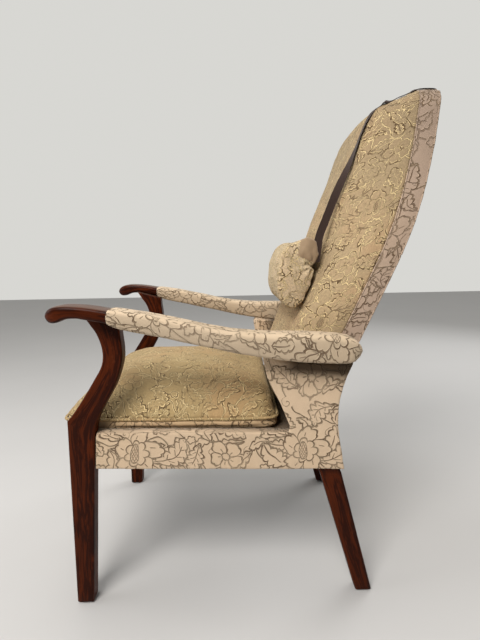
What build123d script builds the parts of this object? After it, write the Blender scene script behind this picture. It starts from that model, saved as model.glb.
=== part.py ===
from build123d import *
import math
import os

os.makedirs("parts", exist_ok=True)

# Fireside chair with open wooden arms, raked high back and loose seat cushion.
# Millimetres. The chair faces -Y, +Z is up, +X is the sitter's left.
# Side profiles are listed as (y, z) with y counted from the centre of a front foot.

# ---------------------------------------------------------------- driving dimensions
FOOT_Y = -370.197            # centre of the front feet in the part's frame
GLIDE_H = 3.0              # foot glide height, legs stand on it
LEG_IN, LEG_OUT = 252.0, 288.0        # front leg, inner and outer face
ARM_IN, ARM_OUT = 268.0, 328.0        # bare wooden arm
PAD_IN, PAD_OUT = 263.5, 330.0        # padded arm sleeve
CORE_IN, CORE_OUT = 270.0, 322.0      # arm inside its sleeve
RAIL_IN, RAIL_OUT = 251.5, 275.5      # side rail
COVER_OUT = 282.5                     # outer face of the side covers
RLEG_IN, RLEG_OUT = 235.5, 269.5      # rear leg
BOARD_IN = 257.5                      # side board over the rail, outer face is RAIL_OUT
POST_T = 28.0                         # back post thickness
BORDER_W = 43.0                       # depth of the boxed strip round the back
BORDER_T = 4.0                        # its thickness
SEAT_HALF = 247.0                     # half width of the seat cushion
PILLOW_HALF = 196.0                   # half width of the back pillow
STRAP_W, STRAP_T = 18.0, 1.6
SPRING_R, SEAT_SPRINGS, BACK_SPRINGS = 5.5, 9, 8

# front leg with its arm support: front edge from the top down, then rear edge
LEG_FRONT = [(34, 618.2), (46, 600), (55, 586.5), (60.5, 574), (65, 559), (67, 544), (66.3, 530), (63, 517),
             (57, 505), (50, 494), (38, 474.5), (27, 457.5), (16, 441), (5, 425.5), (-5, 413), (-12.5, 404)]
LEG_REAR = [(102, 598.4), (103, 584), (105.5, 560), (106, 541), (104.3, 525), (100, 508.5), (94, 491), (86.5, 474),
            (77, 457), (66, 438.5), (55, 419), (47, 402), (42.5, 386), (40, 364)]
FOOT_F, FOOT_R = -17.0, 18.0          # front foot, front and rear edge
# underside of the wooden arm behind the scroll
ARM_UNDER = [(34, 618.4), (44, 616.4), (68, 612.2), (87, 607.9)]
ARM_SCROLL_TOP = [(90, 632.5), (74, 635.3), (54, 638.8), (32, 641.4), (5, 642.6), (-14, 640), (-25, 634.8), (-31.5, 628.5),
                  (-33.2, 622), (-30.5, 615.5), (-24.5, 611.3), (-16.5, 610), (-9, 610.8), (-3, 612.8), (5, 616), (16, 618.5), (34, 618.4)]
PAD_TOP = [(90, 634), (122, 630), (162, 623.5), (201, 615), (241, 605.5), (281, 596), (321, 588.5), (361, 584),
           (401, 581.5), (462, 580), (502, 578), (532, 575.5), (552, 571.5), (565, 565), (573, 556), (575.5, 546)]
PAD_BOT = [(90, 605), (114, 596.5), (151, 588), (188, 580), (226, 571), (264, 562), (302, 553), (340, 544.5),
           (378, 537), (416, 531), (454, 526.5), (493, 523.5), (531, 521), (550, 521.5), (562, 525), (571, 534), (575.5, 546)]
# rear line of the back and sides, from the seat frame to the top
REAR = [(553, 291), (551, 296), (547.5, 322), (544, 342), (541, 366), (539.2, 385), (539, 398), (540, 420), (543.5, 441), (548.5, 462),
        (555.5, 483), (563, 500), (579.5, 535), (595, 567), (611, 600), (627, 633), (642.5, 665), (658, 697), (673, 728),
        (687, 760), (703, 797), (719, 842), (728, 872), (736, 903), (743, 931), (748.5, 955), (753, 978), (758, 1002),
        (763, 1022), (768.5, 1042), (773.5, 1058), (778, 1072), (781, 1086)]
# front line of the domed inside back, on its flat middle
FRONT = [(440, 372), (437, 385), (431, 400), (420, 414), (407.5, 430), (411, 450), (423, 480), (431, 500), (445, 535), (457, 565),
         (471, 600), (491, 650), (510.5, 700), (526, 749), (534, 778), (548, 815), (561, 847), (575, 882), (586.5, 911),
         (599, 948), (611.5, 981), (623, 1001), (645, 1028), (669, 1045), (700, 1059), (721, 1067.5)]
# half width of the back at a height: outer border, and flat front
HALF = [(291, 250), (600, 250), (650, 249), (700, 246), (755, 241), (800, 232), (850, 221.5), (900, 212), (950, 203), (1000, 193),
        (1025, 185), (1045, 173), (1062, 153), (1074, 122), (1082, 75), (1086, 0)]
FLAT = [(291, 200), (580, 200), (650, 190), (720, 166), (760, 152), (1000, 148), (1030, 136), (1048, 115), (1060, 90), (1070, 50)]
# side cover: front edge of the part that rises to the arm, from the arm down to the rail
WING_FRONT = [(387.5, 534.6), (387.5, 520), (390, 504), (396, 485), (404, 464), (414, 445), (422, 428), (430, 408), (438, 387), (442, 374.2)]


def f(v):
    return v + FOOT_Y


def at(table, z, col=0):
    """value of a (y, z) list at height z, or of a (z, value) list at z with col 1"""
    zs = [p[1 - col] for p in table]
    vs = [p[col] for p in table]
    for i in range(len(zs) - 1):
        a, b = zs[i], zs[i + 1]
        if min(a, b) <= z <= max(a, b) and a != b:
            return vs[i] + (vs[i + 1] - vs[i]) * (z - a) / (b - a)
    return vs[0] if abs(z - zs[0]) < abs(z - zs[-1]) else vs[-1]


def zat(table, y):
    """height of a (y, z) list at y"""
    for (y0, z0), (y1, z1) in zip(table, table[1:]):
        if min(y0, y1) <= y <= max(y0, y1) and y0 != y1:
            return z0 + (z1 - z0) * (y - y0) / (y1 - y0)
    return table[0][1] if abs(y - table[0][0]) < abs(y - table[-1][0]) else table[-1][1]


def rear(z):
    return at(REAR, z)


def front(z):
    return at(FRONT, z)


def half(z):
    return at(HALF, z, 1)


def flat(z):
    return at(FLAT, z, 1)


def prism_x(points, x0, x1):
    """side profile of (y, z) points, extruded along X"""
    pts = [Vector(x0, f(y), z) for y, z in points]
    face = Face(Wire.make_polygon(pts, close=True))
    return Solid.extrude(face, Vector(x1 - x0, 0, 0))


def prism_y(points, y0, y1):
    """front profile of (x, z) points, extruded along Y"""
    pts = [Vector(x, f(y0), z) for x, z in points]
    face = Face(Wire.make_polygon(pts, close=True))
    return Solid.extrude(face, Vector(0, y1 - y0, 0))


def prism_z(points, z0, z1):
    """plan of (x, y) points, extruded along Z"""
    pts = [Vector(x, f(y), z0) for x, y in points]
    face = Face(Wire.make_polygon(pts, close=True))
    return Solid.extrude(face, Vector(0, 0, z1 - z0))


def box(x0, x1, y0, y1, z0, z1):
    return prism_z([(x0, y0), (x1, y0), (x1, y1), (x0, y1)], z0, z1)


def curved(edges, x0, x1):
    """side profile of spline and straight edges, extruded along X; each entry is a list of (y, z)"""
    es = []
    for pts in edges:
        v = [Vector(x0, f(y), z) for y, z in pts]
        es.append(Edge.make_line(v[0], v[1]) if len(v) == 2 else Edge.make_spline(v))
    face = Face(Wire(es))
    return Solid.extrude(face, Vector(x1 - x0, 0, 0))


def skin(sections):
    """straight-sided solid through rings of the same number of (x, y, z) points"""
    wires = [Wire.make_polygon([Vector(x, f(y), z) for x, y, z in ring], close=True) for ring in sections]
    return Solid.make_loft(wires, ruled=True)


def rod(a, b, r):
    a, b = Vector(a[0], f(a[1]), a[2]), Vector(b[0], f(b[1]), b[2])
    return Solid.make_cylinder(r, (b - a).length, Plane(origin=a, z_dir=(b - a)))


def soften(solid, radius, pick):
    """rounds the picked edges, with a smaller radius where the full one won't go"""
    for r in (radius, radius * 0.7, radius * 0.4):
        try:
            es = [e for e in solid.edges() if pick(e)]
            out = solid.fillet(r, es)
            if out.is_valid:
                return out
        except Exception:
            continue
    return solid


def solids(shape):
    if isinstance(shape, (list, ShapeList)):
        out = []
        for s in shape:
            out += solids(s)
        return out
    return list(shape.solids())


def other_side(items):
    return [s.mirror(Plane.YZ) for s in solids(items)]


def minus(shape, tools):
    out = shape
    for t in solids(tools):
        out = out - t
    return solids(out)


NODES = {}


def put(name, items):
    NODES[name] = solids(items)


def put_pair(name, items):
    put(name + "_left", items)
    put(name + "_right", other_side(items))


# ---------------------------------------------------------------- fasteners that pass through the wood
arm_dowel = rod((278, 62, 585), (278, 68, 630), 5.0)
arm_screws = [rod((272.75, y, zat(PAD_BOT, y) - 28), (272.75, y, zat(PAD_BOT, y) + 15), 2.0) +
              rod((272.75, y, zat(PAD_BOT, y) + 15), (272.75, y, zat(PAD_BOT, y) + 18), 4.0) for y in (425, 475, 525)]
side_front_dowels = [rod((263.5, 22, z), (263.5, 60, z), 4.0) for z in (325, 352)]
side_rear_dowels = [rod((260.5, 476, z), (260.5, 514, z), 4.0) for z in (318, 346)]
front_dowels = [rod((234, 9, z), (268, 9, z), 4.0) for z in (318, 338)]
back_dowels = [rod((234, 477, z), (266, 477, z), 4.0) for z in (314, 344)]
bolt_z = (312, 346)
bolts = [rod((203.5, 520, z), (271.5, 520, z), 3.0) for z in bolt_z]

# ---------------------------------------------------------------- front legs with arm supports
leg = curved([LEG_FRONT, [LEG_FRONT[-1], (FOOT_F, GLIDE_H)], [(FOOT_F, GLIDE_H), (FOOT_R, GLIDE_H)], [(FOOT_R, GLIDE_H), LEG_REAR[-1]],
              LEG_REAR[::-1], [LEG_REAR[0], (89.3, 604.6)], [(89.3, 604.6), (87, 607.7)], [(87, 607.7), (68, 612.0)], [(68, 612.0), (44, 616.2)],
              [(44, 616.2), LEG_FRONT[0]]], LEG_IN, LEG_OUT)
leg = soften(leg, 4.0, lambda e: e.length > 150 and abs(e.tangent_at(0.5).X) < 0.5)
leg = minus(leg, [arm_dowel] + side_front_dowels + front_dowels)
put_pair("front_leg", leg)

# ---------------------------------------------------------------- arms
scroll = curved([ARM_SCROLL_TOP, ARM_UNDER[0:2], ARM_UNDER[1:3], ARM_UNDER[2:4], [ARM_UNDER[3], (90, 607.2)], [(90, 607.2), (90, 632.5)]],
                ARM_IN, ARM_OUT)
mid = (ARM_IN + ARM_OUT) / 2
plan = [(ARM_IN, 92), (ARM_OUT, 92), (ARM_OUT, 0), (ARM_OUT - 1.5, -10), (ARM_OUT - 6, -20), (ARM_OUT - 14, -28), (ARM_OUT - 24, -33), (mid, -34.5),
        (ARM_IN + 24, -33), (ARM_IN + 14, -28), (ARM_IN + 6, -20), (ARM_IN + 1.5, -10), (ARM_IN, 0)]
scroll = (scroll & prism_z(plan, 595, 660)).solids()[0]
ys = [88, 122, 162, 201, 241, 281, 321, 361, 401, 462, 532, 556]
core = prism_x([(y, zat(PAD_TOP, y) - (14 if y > 88 else 10)) for y in ys] + [(y, zat(PAD_BOT, y) + 4.5) for y in ys[::-1]], CORE_IN, CORE_OUT)
arm = scroll + core
put_pair("arm", minus(arm, [arm_dowel] + arm_screws))

# padded sleeve over the arm, with an inner pocket for it
sleeve = prism_x(PAD_TOP + PAD_BOT[:-1][::-1], PAD_IN, PAD_OUT)
pocket = prism_x([(y if y < 556 else 556.4, zat(PAD_TOP, y) - (13.7 if y > 88 else 9.7)) for y in ys] +
                 [(y if y < 556 else 556.4, zat(PAD_BOT, y) + 4.2) for y in ys[::-1]], CORE_IN - 0.3, CORE_OUT + 0.3)
put_pair("arm_pad", minus(sleeve, [pocket] + arm_screws))

# ---------------------------------------------------------------- rear legs
rleg = prism_x([(582.5, GLIDE_H), (617.5, GLIDE_H), (549, 276), (544, 286), (534, 300), (532, 365.4), (496.5, 366), (497, 296), (500, 286)],
               RLEG_IN, RLEG_OUT)
rleg = soften(rleg, 4.0, lambda e: e.length > 200 and abs(e.tangent_at(0.5).X) < 0.5)
put_pair("rear_leg", minus(rleg, side_rear_dowels + bolts))

# ---------------------------------------------------------------- seat frame
def cover_bottom(y):
    return 303.2 - (y - 36) * 0.0225


def cover_top(y):
    return 380.6 - (y - 42) * 0.0160


side_rail = prism_x([(36.9, cover_bottom(40) + 3), (496.2, cover_bottom(496) + 3), (496.2, 366.1), (42.2, 374.0)], RAIL_IN, RAIL_OUT)
put_pair("side_rail", minus(side_rail, side_front_dowels + side_rear_dowels))
front_rail = box(-LEG_IN, LEG_IN, -3, 19, 306.2, 352)
put("front_rail", minus(front_rail, front_dowels + other_side(front_dowels)))
back_rail = box(-RAIL_IN, RAIL_IN, 466, 488, 298, 362)
put("back_rail", minus(back_rail, back_dowels + other_side(back_dowels)))
NODES["side_rail_left"] = minus(NODES["side_rail_left"][0], back_dowels)
NODES["side_rail_right"] = minus(NODES["side_rail_right"][0], other_side(back_dowels))

# corner blocks, each with two screws
def corner_block(x, y, sx, sy, z0, z1):
    return prism_z([(x, y), (x - sx * 46, y), (x - sx * 46, y + sy * 10), (x - sx * 10, y + sy * 46), (x, y + sy * 46)], z0, z1)


block_f = corner_block(RAIL_IN, 40.6, 1, 1, 312, 342)
block_f = prism_z([(RAIL_IN, 41.5), (RAIL_IN, 82), (241, 82), (206, 30), (206, 19), (RAIL_IN, 19)], 312, 342)
block_b = prism_z([(RAIL_IN, 466), (RAIL_IN, 420), (241, 420), (206, 455), (206, 466)], 308, 338)
screws_f = [rod((226, 45, 327), (226, 4, 327), 2.0), rod((236, 66, 327), (272, 66, 327), 2.0)]
screws_b = [rod((216, 452, 323), (216, 482, 323), 2.0), rod((236, 430, 323), (272, 430, 323), 2.0)]
put("corner_blocks", minus(block_f, screws_f) + minus(block_b, screws_b) +
    minus(other_side(block_f)[0], other_side(screws_f)) + minus(other_side(block_b)[0], other_side(screws_b)))
all_block_screws = screws_f + screws_b + other_side(screws_f + screws_b)
put("block_screws", all_block_screws)
for n in ("side_rail_left", "side_rail_right", "front_rail", "back_rail"):
    NODES[n] = minus(NODES[n][0], all_block_screws)

put("rail_dowels", side_front_dowels + side_rear_dowels + front_dowels + back_dowels +
    other_side(side_front_dowels + side_rear_dowels + front_dowels + back_dowels))
put("arm_dowels", [arm_dowel] + other_side(arm_dowel))

# ---------------------------------------------------------------- seat springs
plate = box(249.0, RAIL_IN, 88, 414, 345, 361)
spring_y = [100 + i * (302 / (SEAT_SPRINGS - 1)) for i in range(SEAT_SPRINGS)]
slots = [rod((247, y, 353), (252, y, 353), 1.7) for y in spring_y]
put_pair("spring_plate", minus(plate, slots))
springs = []
for y in spring_y:
    coil = rod((-236, y, 353), (236, y, 353), SPRING_R)
    hook = rod((-251, y, 353), (251, y, 353), 1.4)
    springs += solids(coil + hook)
put("seat_springs", springs)
put("platform_cloth", box(-250.5, 250.5, 22, 463, 359.4, 361.0))
for n in ("spring_plate_left", "spring_plate_right"):
    NODES[n] = minus(NODES[n][0], box(-251, 251, 21, 464, 359.0, 362))

# ---------------------------------------------------------------- covers of the seat frame
under_arm = [(y, zat(PAD_BOT, y) - 0.8) for y in (562, 550, 531, 493, 454, 416, 394)]
rear_low = [p for p in REAR if 291 <= p[1] <= 500]
side_cover = prism_x([(36.8, cover_bottom(36.8)), (553, cover_bottom(553))] + rear_low[1:] + [(569, 513)] + under_arm + WING_FRONT[1:] +
                     [(300, cover_top(300)), (42.0, cover_top(42.0))], RAIL_OUT, COVER_OUT)
put_pair("side_cover", side_cover)
board = prism_x([(451, 367.3), (496, 366.4), (532.5, 365.8), (531, 385), (531, 398), (532, 421), (535.5, 442), (540.5, 463), (548, 485), (555, 500), (560, 511), (556, 519)] +
                [(y, zat(PAD_BOT, y) - 0.8) for y in (550, 531, 493, 454, 416, 398)] +
                [(396, 520), (397, 506), (402, 487), (410, 467), (420, 447), (428, 430), (436, 410), (444, 389)], BOARD_IN, RAIL_OUT)
put_pair("side_board", minus(board, arm_screws))
wing_pad = prism_x([(451, 378), (446, 389), (438, 409), (430, 428), (421, 446), (411, 465), (403, 485), (397, 505), (396, 520), (400, 529),
                    (430, 527), (514, 521), (500, 480), (492, 440), (491, 378)], 226.0, BOARD_IN - 0.2)
put_pair("side_pad", wing_pad)
front_cover = box(-LEG_IN + 0.3, LEG_IN - 0.3, -8, 22.5, 303.4, 357.5) - box(-260, 260, -3, 30, 306.2, 352)
put("front_rail_cover", minus(front_cover, box(-260, 260, 19, 30, 300, 350)))
put("dust_cover", prism_x([(23, cover_bottom(23) + 1.4), (495, cover_bottom(495) + 1.4), (495, cover_bottom(495) + 2.8), (23, cover_bottom(23) + 2.8)],
                          -RAIL_IN + 0.5, RAIL_IN - 0.5))
put("arm_screws", arm_screws + other_side(arm_screws))

# ---------------------------------------------------------------- back frame
def band(y_of_a, y_of_b, zs):
    return [(y_of_a(z), z) for z in zs] + [(y_of_b(z), z) for z in zs[::-1]]


def rear_levels(z0, z1):
    """heights at which the rear line bends, between two heights, with both ends"""
    return [z0] + [z for _, z in REAR if z0 < z < z1] + [z1]


zs_post = rear_levels(300, 1014)
post_side = prism_x(band(lambda z: rear(z) - 40, lambda z: rear(z) - 6, zs_post), 100, 260)


def post_out(z):
    return 235.5 if z <= 560 else half(z) - 13.5


zf = [300, 480, 560, 600, 650, 700, 755, 800, 850, 900, 950, 1000, 1014]
post_face = prism_y([(post_out(z), z) for z in zf] + [(post_out(z) - POST_T, z) for z in zf[::-1]], 450, 790)
post = (post_side & post_face).solids()[0]
put_pair("back_post", minus(post, bolts))
# each bolt has a head with a washer on the post's inner face and a nut in the rear leg's outer face
def washer(x0, x1, z, r):
    return rod((x0, 520, z), (x1, 520, z), r)


heads = []
for z in bolt_z:
    heads += solids(washer(199.0, 203.5, z, 5.5) + washer(203.5, 206.0, z, 3.0) + washer(206.0, 269.5, z, 3.0) + washer(271.5, 274.5, z, 5.0) + washer(269.5, 271.5, z, 3.0))
wash = []
for z in bolt_z:
    wash += solids(washer(205.9, 207.4, z, 9.0) - washer(200, 210, z, 3.0))
    wash += solids(washer(269.6, 271.0, z, 9.0) - washer(260, 275, z, 3.0))
put("back_bolts", heads + other_side(heads))
put("bolt_washers", wash + other_side(wash))

zs_top = rear_levels(1014.5, 1066)
top_side = prism_x(band(lambda z: rear(z) - 40, lambda z: rear(z) - 7, zs_top), -200, 200)
top_face = prism_y([(-175, 1014.5), (175, 1014.5), (171, 1025), (158, 1045), (138, 1058), (104, 1066), (-104, 1066), (-138, 1058), (-158, 1045), (-171, 1025)], 600, 800)
put("back_top_rail", (top_side & top_face).solids())


def cross_rail(z0, z1):
    xi = min(post_out(z0), post_out(z1)) - POST_T - 0.2
    zs = rear_levels(z0, z1)
    side = prism_x(band(lambda z: rear(z) - 34, lambda z: rear(z) - 12, zs), -240, 240)
    face = prism_y([(-(post_out(z0) - POST_T), z0), (post_out(z0) - POST_T, z0), (post_out(z1) - POST_T, z1), (-(post_out(z1) - POST_T), z1)], 400, 800)
    return (side & face).solids()


put("back_lower_rail", cross_rail(392, 442))
put("back_lumbar_rail", cross_rail(640, 690))
bsprings = []
for i in range(BACK_SPRINGS):
    z = (470, 510, 550, 590, 730, 790, 850, 910)[i]
    xo = post_out(z) - POST_T
    bsprings += solids(rod((-xo + 9, rear(z) - 24, z), (xo - 9, rear(z) - 24, z), SPRING_R) + rod((-xo + 0.6, rear(z) - 24, z), (xo - 0.6, rear(z) - 24, z), 1.4))
put("back_springs", bsprings)
lining_side = prism_x(band(lambda z: rear(z) - 42.2, lambda z: rear(z) - 40.4, rear_levels(400, 1040)), -250, 250)
zl = [400, 560, 600, 700, 755, 800, 850, 900, 950, 1000, 1040]
lining_face = prism_y([(-(post_out(z) - 2), z) for z in zl] + [(post_out(z) - 2, z) for z in zl[::-1]], 400, 800)
put("back_lining", (lining_side & lining_face).solids())

# ---------------------------------------------------------------- inside back, border and outside back
def pad_ring(z, w):
    b = rear(z) - BORDER_W - 1.6
    a = front(z)
    d = b - a
    wf = min(flat(z), w - 3)
    right = [(w, b), (w - (w - wf) * 0.10, b - d * 0.30), (wf + (w - wf) * 0.50, b - d * 0.70), (wf + (w - wf) * 0.12, a + d * 0.06), (wf - 26, a - 1)]
    ring = right + [(0, a - 4)] + [(-x, y) for x, y in right[::-1]]
    return [(x, y, z) for x, y in ring]


zs_pad = [373, 385, 400, 414, 430, 450, 483, 512, 533]
pad_low = skin([pad_ring(z, 225.0) for z in zs_pad])
zs_pad2 = [533, 540, 567, 600, 650, 700, 728, 749, 778, 815, 847, 882, 911, 948, 981, 1001, 1028, 1045, 1059, 1067]
pad_high = skin([pad_ring(z, 249.5 if 534 < z < 600 else (225.0 if z < 534 else half(z) - 0.6)) for z in zs_pad2])
pad = pad_low + pad_high
put("inside_back_pad", pad)

border_side = prism_x(band(lambda z: rear(z) - BORDER_W + 0.3, lambda z: rear(z), rear_levels(537, 1086)), -260, 260)
zh = [537, 600, 650, 700, 755, 800, 850, 900, 950, 1000, 1025, 1045, 1062, 1074, 1082]


def outline(inset, z0):
    zz = [z0] + [z for z in zh if z > z0]
    side = []
    for z in zz:
        s = 1.0 if z < 1000 else 1.0 - 0.35 * (z - 1000) / 82
        side.append((half(z) - inset, z if z < 1000 else z - inset * (1 - s) * 2.0))
    top = [(0, 1086 - inset)]
    return side + top + [(-x, z) for x, z in side[::-1]]


ring_out = prism_y(outline(0, 537), 400, 800)
ring_in = prism_y(outline(BORDER_T, 500), 400, 800)
put("back_border", ((border_side & ring_out) - ring_in).solids())

panel_side = prism_x(band(lambda z: rear(z) - 4.5, lambda z: rear(z) - 1.0, rear_levels(294, 1086)), -300, 300)
inner = outline(BORDER_T + 0.4, 545)
right_in = [p for p in inner if p[0] > 0]
panel_face = prism_y([(RAIL_OUT - 0.3, 294), (RAIL_OUT - 0.3, 490), (250, 508), (244, 530)] + right_in + [(0, 1086 - BORDER_T - 0.4)] +
                     [(-x, z) for x, z in right_in[::-1]] + [(-244, 530), (-250, 508), (-RAIL_OUT + 0.3, 490), (-RAIL_OUT + 0.3, 294)], 400, 800)
put("outside_back", (panel_side & panel_face).solids())

# ---------------------------------------------------------------- seat cushion
def cushion_ring(inset, z, corner=26, tail=0.0):
    x = SEAT_HALF - inset
    y0, y1 = -36 + inset * 0.9, 420 - inset - tail
    c = corner
    right = [(x, y0 + c), (x, y1 - c), (x - c * 0.3, y1 - c * 0.3), (x - c, y1)]
    front_right = [(x - c, y0 - 4), (x - c * 0.3, y0 + c * 0.3)]
    pts = [(0, y0 - 10)] + front_right + right + [(-a, b) for a, b in right[::-1]] + [(-a, b) for a, b in front_right[::-1]]
    return [(a, b, z) for a, b in pts]


cushion = skin([cushion_ring(3, 363.0), cushion_ring(0, 369), cushion_ring(0, 392), cushion_ring(7, 405, 28, 2), cushion_ring(20, 424, 30, 4), cushion_ring(44, 446, 34, 6),
                cushion_ring(80, 468, 38, 8), cushion_ring(122, 484, 42, 8), cushion_ring(160, 490, 44, 8)])
put("seat_cushion", cushion)

# ---------------------------------------------------------------- back pillow with its straps and tail weight
PIL_C = (458.0, 690.0)
PIL_TILT = math.radians(20.5)
PIL_L, PIL_D = 150.0, 74.0


def pillow_ring(x, k):
    out = []
    n = 20
    for i in range(n):
        t = 2 * math.pi * (i + 0.5) / n
        c, s = math.cos(t), math.sin(t)
        u = PIL_L / 2 * k * math.copysign(abs(c) ** 0.55, c)
        v = PIL_D / 2 * k * math.copysign(abs(s) ** 0.75, s)
        y = PIL_C[0] + u * math.sin(PIL_TILT) + v * math.cos(PIL_TILT)
        z = PIL_C[1] + u * math.cos(PIL_TILT) - v * math.sin(PIL_TILT)
        out.append((x, y, z))
    return out


h = PILLOW_HALF
put("pillow", skin([pillow_ring(-h, 0.80), pillow_ring(-h + 10, 0.93), pillow_ring(-h + 30, 0.98), pillow_ring(0, 1.0), pillow_ring(h - 30, 0.98), pillow_ring(h - 10, 0.93), pillow_ring(h, 0.80)]))

# strap centre line (x, y, z) with the direction of its width; it leaves the pillow's end on edge and lies flat over the top
STRAP = [((193.0, 495.5, 722.0), (0.0, 0.94, -0.34)), ((190.0, 502.0, 740.0), (0.0, 0.94, -0.34)), ((184.0, 514.5, 768.0), (0.0, 0.93, -0.37)),
         ((176.0, 529.5, 802.0), (0.0, 0.93, -0.37)), ((168.0, 543.5, 835.0), (0.0, 0.93, -0.36)), ((160.0, 557.5, 865.5), (0.30, 0.88, -0.36)),
         ((153.0, 574.0, 899.0), (0.70, 0.66, -0.26)), ((148.0, 588.5, 929.0), (0.93, 0.34, -0.13)), ((143.0, 603.3, 964.2), (1.0, 0.0, 0.0)),
         ((139.0, 615.9, 994.9), (1.0, 0.0, 0.0)), ((135.0, 635.6, 1021.1), (1.0, 0.0, 0.0)), ((133.0, 648.5, 1033.6), (1.0, 0.0, 0.0)), ((131.0, 663.8, 1043.9), (1.0, 0.0, 0.0)),
         ((127.0, 698.5, 1061.0), (1.0, 0.0, -0.05)), ((123.5, 722.0, 1073.0), (1.0, 0.0, -0.12)), ((122.0, 736.0, 1077.8), (1.0, 0.0, -0.17)), ((118.0, 768.0, 1079.8), (1.0, 0.0, -0.12)),
         ((113.0, 781.0, 1079.4), (1.0, 0.0, 0.05)), ((106.0, 781.3, 1072.0), (0.98, 0.0, 0.20)), ((84.0, 771.0, 1033.7), (0.87, 0.0, 0.50)),
         ((58.0, 759.6, 991.7), (0.85, 0.0, 0.52)), ((26.0, 750.5, 940.0), (0.85, 0.0, 0.52))]


# the right strap has slipped off the front panel's edge and lies flat on the back's side panel
STRAP_RIGHT = [((193.0, 495.5, 722.0), (0.0, 0.94, -0.34)), ((190.8, 507.5, 735.0), (0.25, 0.88, -0.40)), ((188.0, 523.0, 749.0), (0.45, 0.80, -0.40)),
               ((178.0, 549.0, 772.9), (0.753, 0.658, 0.0)), ((173.9, 554.6, 792.8), (0.738, 0.675, 0.0)), ((171.6, 562.6, 815.8), (0.718, 0.696, 0.0)),
               ((169.7, 576.3, 849.8), (0.693, 0.721, 0.0)), ((168.1, 590.4, 884.7), (0.672, 0.740, 0.0)), ((166.6, 604.1, 920.6), (0.651, 0.759, 0.0)),
               ((165.0, 616.7, 956.7), (0.624, 0.781, 0.0)), ((163.3, 628.0, 986.0), (0.606, 0.796, 0.0)), ((161.5, 638.4, 1004.7), (0.612, 0.791, 0.0)),
               ((152.3, 657.8, 1030.5), (0.687, 0.727, 0.0)), ((139.0, 679.5, 1047.5), (0.93, 0.30, -0.24)), ((132.0, 701.5, 1059.0), (0.98, 0.12, -0.14)),
               ((125.5, 721.0, 1071.3), (1.0, 0.0, -0.13)), ((122.0, 735.0, 1076.8), (1.0, 0.0, -0.17))] + STRAP[16:]


def strap_solid(path, mirror):
    rings = []
    n = len(path)
    for i, (p, w) in enumerate(path):
        a = path[max(i - 1, 0)][0]
        b = path[min(i + 1, n - 1)][0]
        t = Vector(b[0] - a[0], b[1] - a[1], b[2] - a[2]).normalized()
        wv = Vector(*w)
        wv = (wv - t * wv.dot(t)).normalized()
        nv = t.cross(wv).normalized()
        c = Vector(*p)
        ring = []
        for sw, sn in ((1, 1), (1, -1), (-1, -1), (-1, 1)):
            q = c + wv * (sw * STRAP_W / 2) + nv * (sn * STRAP_T / 2)
            ring.append((q.X, q.Y, q.Z))
        rings.append(ring)
    s = skin(rings[:19]) + skin(rings[18:])
    return other_side(s) if mirror else solids(s)


pillow_solid = NODES["pillow"][0]
for side_name, path in (("left", STRAP), ("right", STRAP_RIGHT)):
    put("pillow_strap_" + side_name, minus(strap_solid(path, side_name == "right")[0], pillow_solid))
# weighted tail bag behind the back, hung from both straps
bag_top, bag_bottom = 936.0, 862.0
bag = skin([[(-40, 746, bag_top), (40, 746, bag_top), (40, 755, bag_top), (-40, 755, bag_top)],
            [(-44, 740.8, 918), (44, 740.8, 918), (44, 759, 918), (-44, 759, 918)],
            [(-46, 733.5, 880), (46, 733.5, 880), (46, 758, 880), (-46, 758, 880)],
            [(-40, 731.5, bag_bottom), (40, 731.5, bag_bottom), (40, 744, bag_bottom), (-40, 744, bag_bottom)]])
put("strap_weight", bag)
for side_name in ("left", "right"):
    n = "pillow_strap_" + side_name
    NODES[n] = minus(NODES[n][0], NODES["strap_weight"][0])

# ---------------------------------------------------------------- foot glides
glides = []
for x, y in ((270.0, 0.5), (252.5, 600.0)):
    glides.append(rod((x, y, 0), (x, y, GLIDE_H), 10.0))
put("foot_glides", glides + other_side(glides))

# ---------------------------------------------------------------- write
lo = [1e9] * 3
hi = [-1e9] * 3
for name, items in NODES.items():
    shape = items[0] if len(items) == 1 else Compound(children=items)
    shape.label = name
    b = shape.bounding_box()
    for i, (u, v) in enumerate(zip((b.min.X, b.min.Y, b.min.Z), (b.max.X, b.max.Y, b.max.Z))):
        lo[i], hi[i] = min(lo[i], u), max(hi[i], v)
    export_step(shape, "parts/%s.step" % name)
print("nodes", len(NODES), "box", [round(v, 2) for v in lo], [round(v, 2) for v in hi], "y centre", round((lo[1] + hi[1]) / 2, 3))
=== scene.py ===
import math
import bpy
import bmesh
import numpy as np
from mathutils import Matrix, Vector
from mathutils.bvhtree import BVHTree


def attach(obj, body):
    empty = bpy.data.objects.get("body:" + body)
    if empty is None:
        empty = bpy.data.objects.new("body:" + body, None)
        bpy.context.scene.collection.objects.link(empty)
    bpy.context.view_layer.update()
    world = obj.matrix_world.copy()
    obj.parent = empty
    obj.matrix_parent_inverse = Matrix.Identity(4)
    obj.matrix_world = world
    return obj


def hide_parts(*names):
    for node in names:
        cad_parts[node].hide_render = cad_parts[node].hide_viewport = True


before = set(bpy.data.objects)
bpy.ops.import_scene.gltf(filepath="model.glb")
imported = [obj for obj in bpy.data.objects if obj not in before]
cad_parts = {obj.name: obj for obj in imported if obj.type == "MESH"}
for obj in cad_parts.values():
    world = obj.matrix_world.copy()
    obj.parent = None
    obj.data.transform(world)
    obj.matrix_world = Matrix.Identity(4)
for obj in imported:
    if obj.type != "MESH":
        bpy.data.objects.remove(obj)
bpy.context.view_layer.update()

scene = bpy.context.scene
COLL = scene.collection
rng = np.random.default_rng(7)

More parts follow.
